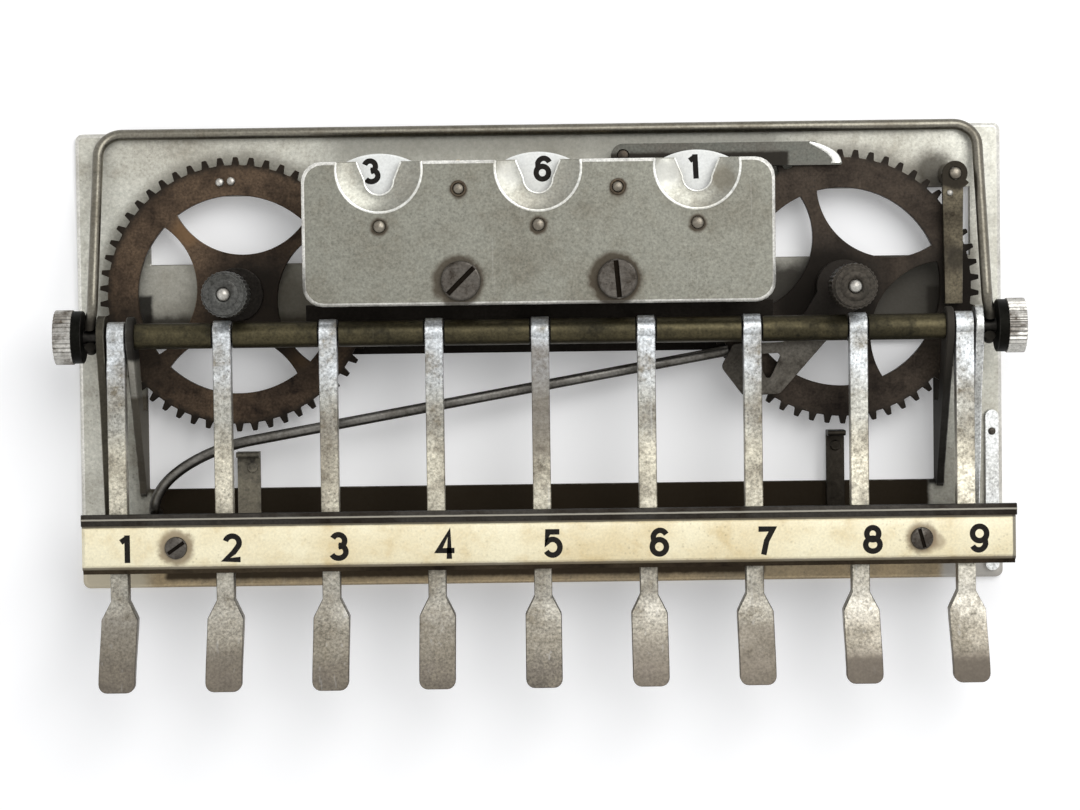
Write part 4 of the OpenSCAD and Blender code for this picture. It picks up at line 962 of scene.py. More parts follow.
class Workshop:
    """Makes pieces, gives them their finish and ties them to the frame."""

    def __init__(self, frame: dict) -> None:
        """Notes the solids and their bodies, and builds the shared node groups.
        """
        self.nodes = frame["nodes"]
        self.groups = GroupKit()
        self.body_of = {
            node: body for body, held in frame["record"]["behaviour"]["bodies"].items() for node in held
        }

    def box(self, node: str) -> tuple[np.ndarray, np.ndarray]:
        """Returns a node's lowest and highest corner in millimetres."""
        low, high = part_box(node)
        return np.asarray(low) / MM, np.asarray(high) / MM

    def middle(self, node: str) -> np.ndarray:
        """Returns the middle of a node's box in millimetres."""
        low, high = self.box(node)
        return (low + high) / 2

    def top(self, node: str) -> np.ndarray:
        """Returns the middle of the top of a node's box in millimetres."""
        return np.array((*self.middle(node)[:2], self.box(node)[1][2]))

    def settle(self, piece: bpy.types.Object, body: str,
               stands_for: Iterable[str] = ()) -> bpy.types.Object:
        """Ties a finished piece to its body and hides the nodes that it stands for.

        Args:
            piece: the object, already in place.
            body: the body that it rides on.
            stands_for: the nodes that it replaces.

        Returns:
            The same piece.
        """
        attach(piece, body)
        if stands_for:
            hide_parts(*stands_for)
        LOG.info("%s rides on %s", piece.name, body)
        return piece

    def mesh_piece(self, name: str, parts: Sequence[Surface], body: str, finish: Finish,
                   stands_for: Iterable[str] = ()) -> bpy.types.Object:
        """Makes one piece from surfaces given as points and quads.

        Args:
            name: the piece's name.
            parts: surfaces in millimetres; points that coincide are merged, which closes seams and poles.
            body: the body that it rides on.
            finish: its finish.
            stands_for: the nodes that it replaces.

        Returns:
            The new object.
        """
        mesh = bpy.data.meshes.new(name)
        offset = 0
        points, faces = [], []
        for some, quads in parts:
            points.append(some)
            faces.append(quads + offset)
            offset += len(some)
        mesh.from_pydata((np.concatenate(points) * MM).tolist(), [], np.concatenate(faces).tolist())
        shape = bmesh.new()
        shape.from_mesh(mesh)
        bmesh.ops.remove_doubles(shape, verts=shape.verts, dist=SEAM)
        bmesh.ops.dissolve_degenerate(shape, edges=shape.edges, dist=SLIVER)
        bmesh.ops.recalc_face_normals(shape, faces=shape.faces)
        self._shade(shape, SMOOTH_BEND)
        shape.to_mesh(mesh)
        shape.free()
        mesh.materials.append(finish.build(self.groups))
        return self.settle(linked(name, mesh), body, stands_for)

    def turned(self, name: str, profile: Sequence[tuple[float, float]], places: Iterable[Point], body: str,
               finish: Finish, steps: int) -> None:
        """Makes one piece of a lathe surface set at several places.

        Args:
            name: the piece's name.
            profile: radius and height in millimetres.
            places: feet of the axes in millimetres.
            body: the body that it rides on.
            finish: its finish.
            steps: number of points round each axis.
        """
        self.mesh_piece(name, [lathe(profile, place, steps) for place in places], body, finish)

    def rail(self, name: str, section: Sequence[tuple[float, float]], ends: tuple[float, float],
             finish: Finish) -> None:
        """Makes one piece of the frame by carrying a section (y, z) along X, between two ends."""
        self.mesh_piece(name, [carried(section, *ends)], "frame", finish)

    def dress(self, *orders: tuple[str, Finish, float]) -> None:
        """Dresses several solids, each given by its name, its finish and its chamfer in millimetres."""
        for node, finish, width in orders:
            self.broken_edges(node, finish, width)

    @staticmethod
    def _shade(shape: bmesh.types.BMesh, smooth_below: float) -> None:
        """Shades a mesh smooth, but for edges that bend past an angle or bound a far larger face."""
        limit = math.radians(smooth_below)
        for face in shape.faces:
            face.smooth = True
        for edge in shape.edges:
            gentle = edge.is_manifold and edge.calc_face_angle(math.pi) < limit
            areas = [face.calc_area() for face in edge.link_faces]
            edge.smooth = gentle and max(areas) < LARGER_FACE * min(areas)

    def broken_edges(self, node: str, finish: Finish, width: float = 0.1, bright_slopes: bool = False,
                     reshape: Reshape | None = None) -> bpy.types.Object:
        """Copies a solid, merges its triangles and breaks its sharp edges with a bright chamfer.

        Args:
            node: the solid's name.
            finish: the metal or enamel of its faces; the chamfers get its edge finish.
            width: chamfer in millimetres.
            bright_slopes: whether sloping upper faces are bright as well.
            reshape: moves the copy's points, in millimetres, before its triangles are merged.

        Returns:
            The new object.
        """
        shape = bmesh.new()
        shape.from_mesh(self.nodes[node].data)
        if reshape is not None:
            points = np.array([vertex.co for vertex in shape.verts]) / MM
            for vertex, place in zip(shape.verts, reshape(points) * MM):
                vertex.co = place
        bmesh.ops.remove_doubles(shape, verts=shape.verts, dist=WELD)
        bmesh.ops.dissolve_limit(shape, angle_limit=math.radians(FLAT_BEND), verts=shape.verts,
                                 edges=shape.edges)
        for face in shape.faces:
            face.material_index = int(bright_slopes and 0.25 < face.normal.z < 0.95)
        limit = math.radians(SHARP_BEND)
        sharp = [edge for edge in shape.edges if edge.is_manifold and edge.calc_face_angle(0.0) > limit]
        if sharp and width > 0:
            made = bmesh.ops.bevel(shape, geom=sharp, offset=width * MM, offset_type="OFFSET", segments=1,
                                   profile=0.5, affect="EDGES", clamp_overlap=True)
            for face in made["faces"]:
                face.material_index = 1
        self._shade(shape, SMOOTH_SOLID_BEND)
        mesh = bpy.data.meshes.new(node + "_dressed")
        shape.to_mesh(mesh)
        shape.free()
        mesh.materials.append(finish.build(self.groups))
        mesh.materials.append(finish.edge().build(self.groups))
        return self.settle(linked(node + "_dressed", mesh), self.body_of[node], (node,))

    def painted_slot_shade(self, node: str, width: float, drop: float, turns: tuple[float, float]) -> None:
        """Lays painted shade in the slots of a pair of screws: a thin near-black ribbon in each slot.

        Args:
            node: the pair of screws, side by side along X.
            width: the slots' width in millimetres.
            drop: how far the slots' floors lie below the heads' tops.
            turns: the slots' turns in degrees.
        """
        low, high = self.box(node)
        radius = (high[1] - low[1]) / 2
        parts = []
        for x, turn in zip((low[0] + radius, high[0] - radius), turns):
            reach = (radius - 0.25) * np.array((math.cos(math.radians(turn)), math.sin(math.radians(turn))))
            points, faces = ribbon(np.stack((-reach, reach)), width - 0.06, 0.07)
            parts.append((points + (x, (low[1] + high[1]) / 2, high[2] - drop), faces))
        self.mesh_piece(node + "_painted_slot_shade", parts, "frame", SLOT_SHADE)

    def numerals(self, name: str, marks: Iterable[tuple[str, Point, float]], height: float, body: str,
                 finish: Finish, weight: float = 0.2) -> bpy.types.Object:
        """Makes plain printed numerals as one thin piece.

        Args:
            name: the piece's name.
            marks: each numeral with its middle in millimetres and its turn in degrees.
            height: a numeral's height in millimetres.
            body: the body that they ride on.
            finish: the ink.
            weight: width of a stroke as a share of the height.

        Returns:
            The new object.
        """
        parts = []
        for character, middle, turn in marks:
            cosine, sine = math.cos(math.radians(turn)), math.sin(math.radians(turn))
            turned = np.array(((cosine, sine, 0), (-sine, cosine, 0), (0, 0, 1)))
            for order, stroke in enumerate(NUMERALS[character]):
                points, faces = ribbon(stroke * height, weight * height, 0.02 + 0.002 * order)
                parts.append((points @ turned + np.asarray(middle), faces))
        return self.mesh_piece(name, parts, body, finish)


@dataclass
class BasePlate:
    """Base plate with its windows and cheeks, the guide channel and the number strip."""

    shop: Workshop
    numeral_height: float = 4.45
    left_digit_x: float = -66.9
    digit_pitch: float = 17.12
    lip_width: float = 1.8
    bevel_width: float = 0.6
    left_window_x: float = -64.5
    rear_windows_front: float = 23.1
    cross_front: float = 9.2
    front_band_rear: float = -14.25
    solid_left_window_x: float = -71.5
    solid_rear_windows_front: float = 22.0
    solid_cross_front: float = 7.7
    leaf_extra: float = 1.3

    def build(self) -> None:
        """Dresses the plate, channel, strip and screws, and prints the strip's numerals."""
        shop = self.shop
        shop.broken_edges("base_plate", PLATE, 0.14, bright_slopes=True, reshape=self.trim_windows)
        shop.dress(("key_guide", GUIDE, 0.1), ("number_strip", STRIP, 0.08), ("strip_screws", SCREW, 0.06))
        shop.painted_slot_shade("strip_screws", 0.6, 0.385, (35.0, 105.0))
        shop.broken_edges("edge_strip", EDGE_STRIP, 0.1)
        shop.broken_edges("left_detent", LEAF_OLIVE, 0.08, reshape=self.wide_leaf)
        shop.broken_edges("right_detent", LEAF_DARK, 0.08)
        self.number_marks()
        self.strip_lips()
        self.cross_flange()
        self.margin_screw()

    def wide_leaf(self, points: np.ndarray) -> np.ndarray:
        """Moves the left leaf's outer side out, as the leaf is wider than its fellow."""
        low, high = self.shop.box("left_detent")
        points[points[:, 0] < (low[0] + high[0]) / 2 - 0.9, 0] -= self.leaf_extra
        return points

    def trim_windows(self, points: np.ndarray) -> np.ndarray:
        """Moves the corners of the plate's openings to their trimmed places.

        The left rear opening starts further right, both start further back, and the front
        opening lies further back, under the rod.
        """
        x, y, z = points.T
        flat = z < 1.6
        rear = flat & (np.abs(x) > 37.5) & (y > 21.5) & (y < 35.0)
        front = flat & (np.abs(x) < 66.0)
        points[rear & np.isclose(x, self.solid_left_window_x, atol=0.1), 0] = self.left_window_x
        points[rear & np.isclose(y, self.solid_rear_windows_front, atol=0.1), 1] = self.rear_windows_front
        points[front & np.isclose(y, self.solid_cross_front, atol=0.1), 1] = self.cross_front
        points[front & (y > -16.3) & (y < -14.5), 1] = self.front_band_rear
        return points

    def number_marks(self) -> None:
        """Prints the numerals 1 to 9 along the strip, each below its key."""
        low, high = self.shop.box("number_strip")
        middle = (low[1] + high[1]) / 2 - 0.1
        marks = [
            (str(count + 1), (self.left_digit_x + self.digit_pitch * count, middle, high[2]), 0.0)
            for count in range(9)
        ]
        self.shop.numerals("strip_numerals", marks, self.numeral_height, "frame", INK)

    def strip_lips(self) -> None:
        """Folds the channel's lip behind the strip, with a thin painted highlight along it, and a narrow
        bevel before it.

        Each is a closed section (y, z) carried along X.
        """
        low, high = self.shop.box("number_strip")
        rear, front, top = high[1], low[1], high[2]
        section = ((rear - 0.05, top - 1.2), (rear - 0.05, top - 0.55), (rear + 0.7, top - 0.5),
                   (rear + 0.85, top - 0.36), (rear + 1.05, top - 0.36), (rear + 1.2, top - 0.5),
                   (rear + self.lip_width - 0.1, top - 0.6), (rear + self.lip_width, top - 1.2))
        self.shop.rail("channel_rear_lip", section[::-1], (low[0] - 0.1, high[0] + 0.2), LIP)
        section = ((front + 0.05, top - 1.3), (front - self.bevel_width, top - 1.3),
                   (front - self.bevel_width, top - 1.0), (front + 0.05, top - 0.75))
        self.shop.rail("strip_front_bevel", section, (low[0] + 0.1, high[0] - 0.1), GUIDE)

    def cross_flange(self) -> None:
        """Lays a dark flange under the rod, a closed section (y, z) carried along X; its near-black colour
        is partly painted shade under the rod.
        """
        low, high = self.shop.box("dial_rail")
        edge = self.cross_front
        section = ((edge + 0.2, 0.1), (edge - 1.4, 0.1), (edge - 1.4, 1.3), (edge - 1.3, 1.4),
                   (edge + 0.2, 1.4))
        self.shop.rail("cross_flange", section, (low[0] + 4.0, high[0] - 1.5), RAIL)

    def margin_screw(self) -> None:
        """Sets a small dark screw in the flat strip on the right margin."""
        low, high = self.shop.box("edge_strip")
        centre = ((low[0] + high[0]) / 2, high[1] - 3.6, high[2])
        profile = ((0, -0.2), (0.62, -0.2), (0.62, 0.12), (0.5, 0.24), (0.2, 0.3), (0.16, 0.2), (0, 0.2))
        self.shop.turned("margin_screw", profile, [centre], "frame", SCREW, 28)


@dataclass
class KeyRow:
    """Nine keys on their rod, with the spacers, collars and nuts."""

    shop: Workshop
    count: int = 9
    shades: tuple[float, ...] = (0.92, 1.05, 0.97, 0.92, 0.86, 0.98, 0.90, 1.12, 1.12)
    stains: tuple[tuple[int, float, float, float], ...] = (
        (1, -47.0, -33.0, 0.4), (2, -47.0, -38.5, 0.5), (3, -12.0, -2.0, 0.25), (4, -47.0, -33.0, 0.2),
        (3, -47.0, -41.0, 0.3), (5, -9.0, 9.5, 0.65), (6, -47.0, -38.0, 0.45), (7, -47.0, -36.0, 0.5),
        (8, -47.0, -40.6, 0.75), (9, -47.0, -40.9, 0.8))
    stain_color: Color = (0.115, 0.097, 0.078)

    def build(self) -> None:
        """Dresses the keys, the rod and what is threaded on it."""
        self.shop.dress(*((f"key_{number}", self.aged(number),
                           0.12) for number in range(1, self.count + 1)),
                        ("key_rod", ROD, 0.1), ("rod_spacers", SPACER, 0.08))
        for side in ("left", "right"):
            self.shop.dress((f"{side}_rod_collar", COLLAR, 0.12), (f"{side}_rod_nut", KNURL, 0.05))
            self.end_boss(side)

    def aged(self, number: int) -> MetalFinish:
        """Returns the keys' finish, lighter or darker as this key has worn."""
        shade = self.shades[number - 1]
        fades = tuple(replace(fade, color=tuple(c * shade for c in fade.color)) for fade in KEY.fades)
        low, high = self.shop.box(f"key_{number}")
        dirt_and_painted_light = tuple(Zone(low[0] - 2.0, high[0] + 2.0, front, back, soft=1.3, strength=strength,
                           color=self.stain_color)
                      for key, front, back, strength in self.stains if key == number)
        return replace(KEY, name=f"key_steel_{number}", base=tuple(c * shade for c in KEY.base),
                       fades=fades,
                       dirt_and_painted_light=dirt_and_painted_light)

    def end_boss(self, side: str) -> None:
        """Rounds the rod's end with a low turned boss.

        The boss is a lathe surface of radius and height, laid along X by swapping its axes.
        """
        low, high = self.shop.box(f"{side}_rod_nut")
        middle = self.shop.middle(f"{side}_rod_nut")
        sign = -1.0 if side == "left" else 1.0
        profile = ((0, -0.4), (2.5, -0.4), (2.5, 0.0), (2.3, 0.2), (1.5, 0.2), (1.35, 0.05), (0, 0.05))
        points, faces = lathe(profile, (0, 0, 0), 36)
        outer = high[0] if sign > 0 else low[0]
        placed = np.column_stack((outer + sign * (points[:, 2] - 0.2), points[:, 0] + middle[1],
                                  points[:, 1] + middle[2]))
        self.shop.mesh_piece(f"{side}_nut_boss", [(placed, faces)], "frame", KNURL)


@dataclass
class Rocker:
    """Universal bar and its two arms."""

    shop: Workshop

    def build(self) -> None:
        """Dresses the bar and the arms."""
        self.shop.dress(("universal_bar", BAR, 0.1), ("rocker_arm_left", ARM_OLIVE, 0.12),
                        ("rocker_arm_right", ARM_BRIGHT, 0.12))


@dataclass
class Bail:
    """Wire bail, bent from one length of wire with a loop round the rod at each end."""

    shop: Workshop
    wire: float = 1.8
    bend: float = 3.8

    def build(self) -> None:
        """Carries the wire's circle along its whole course.

        The course is drawn flat (loop, arm, bend, rear wire) and turned about the rod to where
        the solid lies.
        """
        low, high = self.shop.box("bail")
        rod = self.shop.box("key_rod")
        rod_middle = self.shop.middle("key_rod")
        radius = self.wire / 2
        half = (high[0] - low[0]) / 2 - radius
        rear = high[1] - radius - rod_middle[1]
        drop = low[2] + radius - rod_middle[2]
        length = math.hypot(rear, drop)
        tilt = math.atan2(drop, rear)
        loop_r = (rod[1][2] - rod[0][2]) / 2 + radius + 0.04
        loop = arc((0, 0, 0), loop_r, -200.0, 60.0, 30, "yz")
        start = loop[-1]
        joint = np.array((0.0, loop_r + 3.2, 0.0))
        rate = np.linspace(0, 1, 10)[1:, None]
        bridge = hermite(start, (0.0, 2.2, -0.4), joint, (0.0, 2.4, 0.0), rate)
        side = np.concatenate((loop, bridge))
        arm_end = length - self.bend
        straight = np.column_stack((np.zeros(14), np.linspace(joint[1], arm_end, 15)[1:], np.zeros(14)))
        left = np.concatenate((side, straight)) - (half, 0, 0)
        corner = arc((-half + self.bend, arm_end, 0), self.bend, 180.0, 90.0, 12)[1:]
        run = np.column_stack((np.linspace(-half + self.bend, 0, 16)[1:], np.full(15, length),
                               np.zeros(15)))
        one = np.concatenate((left, corner, run))
        course = np.concatenate((one, one[::-1][1:] * (-1, 1, 1)))
        cosine, sine = math.cos(tilt), math.sin(tilt)
        turned = course @ np.array(((1, 0, 0), (0, cosine, sine), (0, -sine, cosine)))
        wire = tube(turned + (0, rod_middle[1], rod_middle[2]), radius, 16)
        self.shop.mesh_piece("bail_wire_course", [wire], "bail", BAIL, ("bail",))


@dataclass
class CountingWheels:
    """The two toothed wheels with their hubs, knobs and pins."""

    shop: Workshop
    teeth: int = 54
    trimmed_tip: float = 22.6
    tips_beyond: float = 22.5
    roots_between: tuple[float, float] = (21.0, 21.6)
    heads_above: float = 26.2
    tip_half: float = 0.34
    root_half: float = 0.62
    pin_radius: float = 0.55
    pin_rise: float = 0.5
    stud_shrink: float = 0.7

    def build(self) -> None:
        """Dresses both wheels and sets the small pins beside their hubs."""
        for side, finish in (("left", LEFT_WHEEL), ("right", RIGHT_WHEEL)):
            self.shop.broken_edges(f"{side}_wheel", finish, 0.08, reshape=self.blunt_teeth(side))
            hub = HUB if side == "left" else HUB_BROWN
            self.shop.dress((f"{side}_wheel_sleeve", SLEEVE, 0.1), (f"{side}_setting_knob", hub, 0.06))
            self.washer(side, hub)
        self.shop.broken_edges("wheel_studs", NUT, 0.04, reshape=self.slim_studs)
        self.shop.broken_edges("left_wheel_pins", NUT, 0.05)
        self.hub_pins("left", ((0.6, 3.4), (1.7, -2.6)))
        self.hub_pins("right", ((-3.6, -0.9), (-2.3, -0.4)))

    def blunt_teeth(self, side: str) -> Reshape:
        """Returns a function that trims a wheel's pointed teeth to blunt, even fingers.

        A point beyond the rim lies beside its tooth's middle m. Its angle becomes
        m +/- asin(half width / radius), and a tooth's tip comes in to the trimmed radius.
        """
        centre = self.shop.top(f"{side}_wheel")

        def trim(points: np.ndarray) -> np.ndarray:
            """Moves the teeth's corners."""
            arm = points[:, :2] - centre[:2]
            radius, angle = np.hypot(arm[:, 0], arm[:, 1]), np.arctan2(arm[:, 1], arm[:, 0])
            tip = radius > self.tips_beyond
            root = (radius > self.roots_between[0]) & (radius < self.roots_between[1])
            pitch = 2 * np.pi / self.teeth
            phase = np.angle(np.exp(1j * self.teeth * angle[tip]).sum()) / self.teeth
            beside = (angle - phase + pitch / 2) % pitch - pitch / 2
            radius = np.where(tip, self.trimmed_tip, radius)
            half = np.arcsin(np.where(tip, self.tip_half, self.root_half) / np.maximum(radius, 1.0))
            angle = np.where(tip | root, angle - beside + np.sign(beside) * half, angle)
            points[:, :2] = centre[:2] + radius[:, None] * np.stack((np.cos(angle), np.sin(angle)), axis=-1)
            return points

        return trim

    def slim_studs(self, points: np.ndarray) -> np.ndarray:
        """Draws the studs' heads in about their own axes, above the knobs."""
        for side in ("left", "right"):
            centre = self.shop.top(f"{side}_wheel")
            head = (points[:, 2] > self.heads_above) & (np.sign(points[:, 0]) == np.sign(centre[0]))
            points[head, :2] = centre[:2] + (points[head, :2] - centre[:2]) * self.stud_shrink
        return points

    def hub_pins(self, side: str, places: Sequence[tuple[float, float]]) -> None:
        """Sets domed rivets on a wheel's web, each a lathe surface of radius and height."""
        middle = self.shop.top(f"{side}_wheel")
        feet = [(middle[0] + x, middle[1] + y, middle[2]) for x, y in places]
        self.shop.turned(f"{side}_hub_pins", rivet(self.pin_radius, self.pin_rise), feet,
                         f"{side}_wheel", NUT, 20)

    def washer(self, side: str, finish: Finish) -> None:
        """Lays a thin dished washer on a wheel's knob, a lathe surface of radius and height."""
        profile = ((1.12, -0.3), (2.35, -0.3), (2.35, 0.1), (2.25, 0.15), (1.3, 0.15), (1.12, 0.05),
                   (1.12, -0.3))
        self.shop.turned(f"{side}_knob_washer", profile, [self.shop.top(f"{side}_setting_knob")],
                         f"{side}_wheel", finish, 36)


@dataclass
class ReadOut:
    """Number discs with their gears, under the cover plate with its scooped windows."""

    shop: Workshop
    numeral_height: float = 3.9
    numeral_ring: float = 9.0
    scoop_radius: float = 6.88
    scoop_depth: float = 0.7
    rim_back: float = 1.3
    notch_radius: float = 2.35
    notch_back: float = 3.0
    shown: tuple[tuple[str, str, int, float], ...] = (
        ("hundreds_disc", "hundreds", 3, 8.0), ("tens_disc", "tens", 6, -5.0),
        ("units_disc", "units", 1, 2.5),
    )

    def build(self) -> None:
        """Dresses the cover and the gears, and prints the discs."""
        shop = self.shop
        shop.broken_edges("cover_plate", COVER, 0.2, bright_slopes=True)
        shop.dress(("cover_pillars", PILLAR, 0.1), ("cover_screws", SCREW, 0.08))
        shop.painted_slot_shade("cover_screws", 0.8, 0.605, (45.0, 95.0))
        shop.dress(("arbor_studs", STUD, 0.05), ("dial_rail", RAIL, 0.12))
        for gear in ("units_arbor", "tens_gear", "hundreds_gear", "units_transfer_pinion",
                     "tens_transfer_pinion"):
            shop.broken_edges(gear, GEAR, 0.05)
        for node, body, digit, tilt in self.shown:
            shop.broken_edges(node, DISC, 0.06)
            self.print_disc(node, body, digit, tilt)
        self.stud_rings()
        self.scoops()

    def print_disc(self, node: str, body: str, digit: int, tilt: float) -> None:
        """Prints ten numerals round a disc, so that the given digit stands in the window.

        Numeral n stands at angle 90 + tilt - 36 (n - digit) degrees, upright toward the rim.
        """
        middle = self.shop.top(node)
        marks = []
        for step in range(10):
            turn = tilt - 36.0 * step
            angle = math.radians(90.0 + turn)
            at = (middle[0] + self.numeral_ring * math.cos(angle),
                  middle[1] + self.numeral_ring * math.sin(angle), middle[2])
            marks.append((str((digit + step) % 10), at, turn))
        self.shop.numerals(f"{body}_numerals", marks, self.numeral_height, body, INK_DISC, 0.22)

    def stud_rings(self) -> None:
        """Lays a dark turned ring round each transfer stud's tip, a lathe surface of radius and height."""
        level = self.shop.top("cover_plate")[2]
        profile = ((0.93, -0.05), (1.3, -0.05), (1.3, 0.08), (1.2, 0.16), (1.0, 0.16), (0.93, 0.1),
                   (0.93, -0.05))
        feet = [(*self.shop.middle(f"{gear}_transfer_pinion")[:2], level) for gear in ("units", "tens")]
        self.shop.turned("transfer_stud_rings", profile, feet, "frame", RING, 32)

    def scoops(self) -> None:
        """Dishes the recess round each number window and brightens its worn rims.

        With s running round the recess from one end to the other and v from the notch
        (0) to the rim (1), a point is notch(s) (1 - v) + rim(s) v, at the height
        top - depth (1 - v^2). The rims are thin wires along rim(s) and notch(s).
        """
        _, (_, rear, top) = self.shop.box("cover_plate")
        side = math.degrees(math.asin((self.rim_back - 0.12) / self.scoop_radius))
        rim = arc((0, rear - self.rim_back, 0), self.scoop_radius, 180 - side, 360 + side, 49)[:, :2]
        half, foot = self.notch_radius + 0.02, rear - self.notch_back
        edge = np.linspace(rear - 0.12, foot, 13)[:-1]
        wide = half * (1 + 0.7 * (edge - foot) / 4)
        notch = np.concatenate((np.column_stack((-wide, edge)),
                                arc((0, foot, 0), half, 180, 360, 25)[:, :2],
                                np.column_stack((wide, edge))[::-1]))
        rate = np.linspace(0, 1, 7)
        bowl = top - self.scoop_depth * (1 - rate ** 2) + 0.01
        floor = top - self.scoop_depth - 0.05
        dishes, wires = [], []
        flat = notch[:, None] * (1 - rate[None, :, None]) + rim[:, None] * rate[None, :, None]
        level = np.broadcast_to(bowl[None, :, None], (len(rim), len(rate), 1))
        upper = np.concatenate((flat, level), axis=-1)
        under = np.concatenate((flat[:, [-1, 0]], np.full((len(rim), 2, 1), floor)), axis=-1)
        rings = np.concatenate((upper, under), axis=1)
        ends = [np.repeat(ring.mean(axis=0)[None, None], rings.shape[1], axis=1)
                for ring in (rings[0], rings[-1])]
        dish = np.concatenate((ends[0], rings, ends[1])).reshape(-1, 3)
        for node, _, _, _ in self.shown:
            middle = self.shop.middle(node)[0]
            dishes.append((dish + (middle, 0, 0), grid_faces(len(rings) + 2, rings.shape[1], closed=True)))
            for course, height, radius in ((rim, top - 0.12, 0.26), (notch, floor + 0.04, 0.16)):
                path = np.column_stack((course + (middle, 0), np.full(len(course), height)))
                wires.append(tube(path, radius, 8))
        self.shop.mesh_piece("dished_scoops", dishes, "frame", SCOOP)
        self.shop.mesh_piece("scoop_rims", wires, "frame", RIM)


@dataclass
class Levers:
    """Drive, lock and stop levers with their studs, and the long spring."""

    shop: Workshop
    wire: float = 0.9
    eye_shrink: float = 0.85
    flatness: float = 0.7
    spring_hook_y: float = 7.75
    spring_bend: tuple[float, float] = (-48.0, -6.1)
    spring_turned: tuple[float, float] = (-63.9, -17.0)
    spring_foot: Point = (-64.0, -18.1, 1.55)

    def build(self) -> None:
        """Dresses the levers, their studs and the spring."""
        shop = self.shop
        shop.dress(("drive_lever", LEVER, 0.1), ("drive_pawl", LEVER, 0.05), ("lock_lever", LOCK, 0.12))
        shop.broken_edges("stop_lever", STOP, 0.12, reshape=self.tapered_lever)
        self.spring()
        shop.dress(("lock_stud", SOOTY_STUD, 0.05), ("stop_stud", STUD, 0.05))
        self.stop_rivet()
        self.lock_tip()

    def spring(self) -> None:
        """Carries the spring wire's circle from the drive lever, round its bend and down into the plate."""
        _, high = self.shop.box("return_spring")
        level = high[2] - self.wire * self.flatness - 0.02
        start = np.array((high[0] - 0.2, self.spring_hook_y, level))
        bend = np.array((*self.spring_bend, level))
        straight = start + (bend - start) * np.linspace(0, 1, 24)[:, None]
        along = (bend - start) / np.linalg.norm(bend - start)
        rate = np.linspace(0, 1, 22)[1:, None]
        turned = hermite(bend, along * 19.0, (*self.spring_turned, level), (-1.5, -17.0, 0.0), rate)
        rate = np.linspace(0, 1, 9)[1:, None]
        down = hermite(turned[-1], (-0.1, -1.6, 0.0), self.spring_foot, (0.0, 0.0, -6.0), rate)
        points, faces = tube(np.concatenate((straight, turned, down)), self.wire, 14)
        above = points[:, 2] > level - self.wire - 0.01
        points[above, 2] = level + (points[above, 2] - level) * self.flatness
        self.shop.mesh_piece("spring_wire_course", [(points, faces)], "frame", SPRING,
                             ("return_spring", "spring_post"))

    def lock_tip(self) -> None:
        """Bevels the lock lever's tip: a bright flat tube that slants down, then runs square to the bar."""
        low, high = self.shop.box("lock_lever")
        rate = np.linspace(0, 1, 16)[:, None]
        start, end = (high[0] - 5.3, high[1] - 0.2, high[2]), (high[0] - 0.95, low[1] + 0.3, high[2])
        course = hermite(np.array(start), (6.0, -2.2, 0.0), end, (-0.2, -4.6, 0.0), rate)
        points, faces = tube(course, 0.16 + 0.72 * rate[:, 0] ** 0.8, 12)
        points[:, 2] = high[2] + (points[:, 2] - high[2]) * 0.35
        self.shop.mesh_piece("lock_tip_ridge", [(points, faces)], "lock", RIM)

    def tapered_lever(self, points: np.ndarray) -> np.ndarray:
        """Tapers the stop lever's bar towards its pivot and draws its round end in about the stud.

        At the share r of the bar's length and the share a across it, a corner comes to
        x = left + 0.7 + 0.8 r + a (2.8 - 0.5 r).
        """
        low, high = self.shop.box("stop_lever")
        pivot = np.array((high[0] - 2.4, high[1] - 2.4))
        away = np.linalg.norm(points[:, :2] - pivot, axis=1)
        bar = points[:, 1] < pivot[1] - 1.3
        rate = np.clip((points[bar, 1] - low[1]) / (pivot[1] - 1.8 - low[1]), 0, 1)
        across = (points[bar, 0] - low[0]) / 3.1
        points[bar, 0] = low[0] + 0.7 + 0.8 * rate + across * (2.8 - 0.5 * rate)
        rim = ~bar & (away > 2.2)
        points[rim, :2] = pivot + (points[rim, :2] - pivot) * self.eye_shrink
        return points

    def stop_rivet(self) -> None:
        """Sets a small domed rivet beside the stop lever's pivot, a lathe surface of radius and height."""
        low, high = self.shop.box("stop_lever")
        self.shop.turned("stop_rivet", rivet(0.55, 0.4), [(low[0] + 1.6, high[1] - 5.6, high[2])],
                         "stop", NUT, 20)


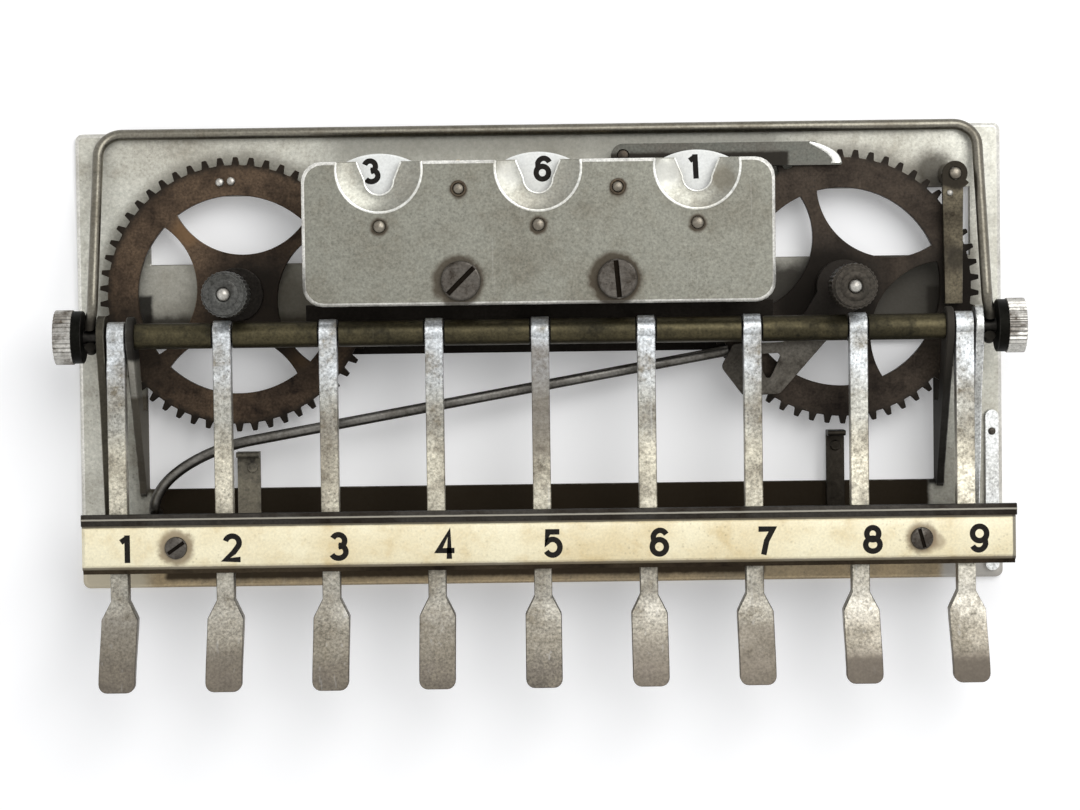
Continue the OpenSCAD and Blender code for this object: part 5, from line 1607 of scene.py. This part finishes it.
@dataclass
class Studio:
    """Pale floor, soft lights and the camera."""

    camera_at: Point = (-0.006, 17.13, 487.9)
    camera_turn: Point = (-0.0373, -0.0002, -0.0132)
    lens: float = 97.5
    floor_half: float = 1500.0
    key_energy: float = 3.3
    fill_energy: float = 0.6

    def build(self) -> None:
        """Sets the floor, the world, the lights and the camera."""
        self.floor()
        self.world()
        self.area("key_light", (240, 290, 560), (0, 0, 0), 520, self.key_energy)
        self.area("fill_light", (-420, -120, 520), (0, 0, 0), 700, self.fill_energy)
        self.camera()
        bpy.context.scene.view_settings.view_transform = "Standard"

    def floor(self) -> None:
        """Lays the floor, which shows white to the camera and keeps the object's shadow."""
        across = np.linspace(-self.floor_half, self.floor_half, 9)
        x, y = np.meshgrid(across, across, indexing="xy")
        points = np.column_stack((x.ravel(), y.ravel(), np.zeros(x.size)))
        mesh = bpy.data.meshes.new("studio_floor")
        mesh.from_pydata((points * MM).tolist(), [], grid_faces(9, 9).tolist())
        material = bpy.data.materials.new("studio_floor")
        sheet = fresh_sheet(material)
        where = sheet.add("TexCoord").outputs["Object"]
        cloud = sheet.add("TexNoise", Vector=where, Scale=3.0, Detail=2.0)
        tone = sheet.blend(cloud.outputs["Fac"], (0.90, 0.90, 0.905, 1.0), (0.93, 0.93, 0.93, 1.0))
        matt = sheet.add("BsdfDiffuse", Color=tone)
        glow = sheet.add("Emission", Color=(1.0, 1.0, 1.0, 1.0), Strength=0.16)
        both = sheet.add("AddShader", i0=matt.outputs[0], i1=glow.outputs[0])
        mixed = sheet.add("MixShader", Fac=seen_direct(sheet), i1=matt.outputs[0], i2=both.outputs[0])
        sheet.add("OutputMaterial", Surface=mixed.outputs[0])
        mesh.materials.append(material)
        floor = linked("studio_floor", mesh)

    @staticmethod
    def world() -> None:
        """Gives an even soft light, white where the camera or a reflection sees it."""
        world = bpy.data.worlds.new("studio_world")
        bpy.context.scene.world = world
        sheet = fresh_sheet(world)
        through = sheet.add("LightPath").outputs["Is Transmission Ray"]
        seen = sheet.math("MAXIMUM", seen_direct(sheet), through)
        soft = sheet.add("Background", Color=(0.97, 0.98, 1.0, 1.0), Strength=0.5)
        white = sheet.add("Background", Color=(1.0, 1.0, 1.0, 1.0), Strength=1.0)
        mixed = sheet.add("MixShader", Fac=seen, i1=soft.outputs[0], i2=white.outputs[0])
        sheet.add("OutputWorld", Surface=mixed.outputs[0])

    @staticmethod
    def area(name: str, at: Point, toward: Point, size: float, energy: float) -> None:
        """Hangs one soft square light.

        Args:
            name: the light's name.
            at: its place in millimetres.
            toward: the point that it faces.
            size: its side in millimetres.
            energy: its power in watts.
        """
        light = bpy.data.lights.new(name, "AREA")
        light.shape = "SQUARE"
        light.size = size * MM
        light.energy = energy
        lamp = linked(name, light)
        lamp.location = Vector(at) * MM
        lamp.rotation_euler = (Vector(toward) - Vector(at)).to_track_quat("-Z", "Y").to_euler()

    def camera(self) -> None:
        """Puts the camera where the photograph was taken from."""
        camera = linked("photo_camera", bpy.data.cameras.new("photo_camera"))
        camera.data.sensor_fit = "HORIZONTAL"
        camera.data.sensor_width = 36.0
        camera.data.lens = self.lens
        camera.data.clip_start = 0.01
        camera.data.clip_end = 20.0
        camera.location = Vector(self.camera_at) * MM
        camera.rotation_euler = self.camera_turn
        bpy.context.scene.camera = camera


def main() -> None:
    """Builds the sub-assemblies in order."""
    logging.basicConfig(level=logging.INFO, format="%(message)s")
    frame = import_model()
    Studio().build()
    shop = Workshop(frame)
    for assembly in (BasePlate, KeyRow, Rocker, Bail, CountingWheels, ReadOut, Levers):
        assembly(shop).build()
        LOG.info("%s is dressed", assembly.__name__)
    bpy.context.view_layer.update()


if __name__ == "__main__":
    main()
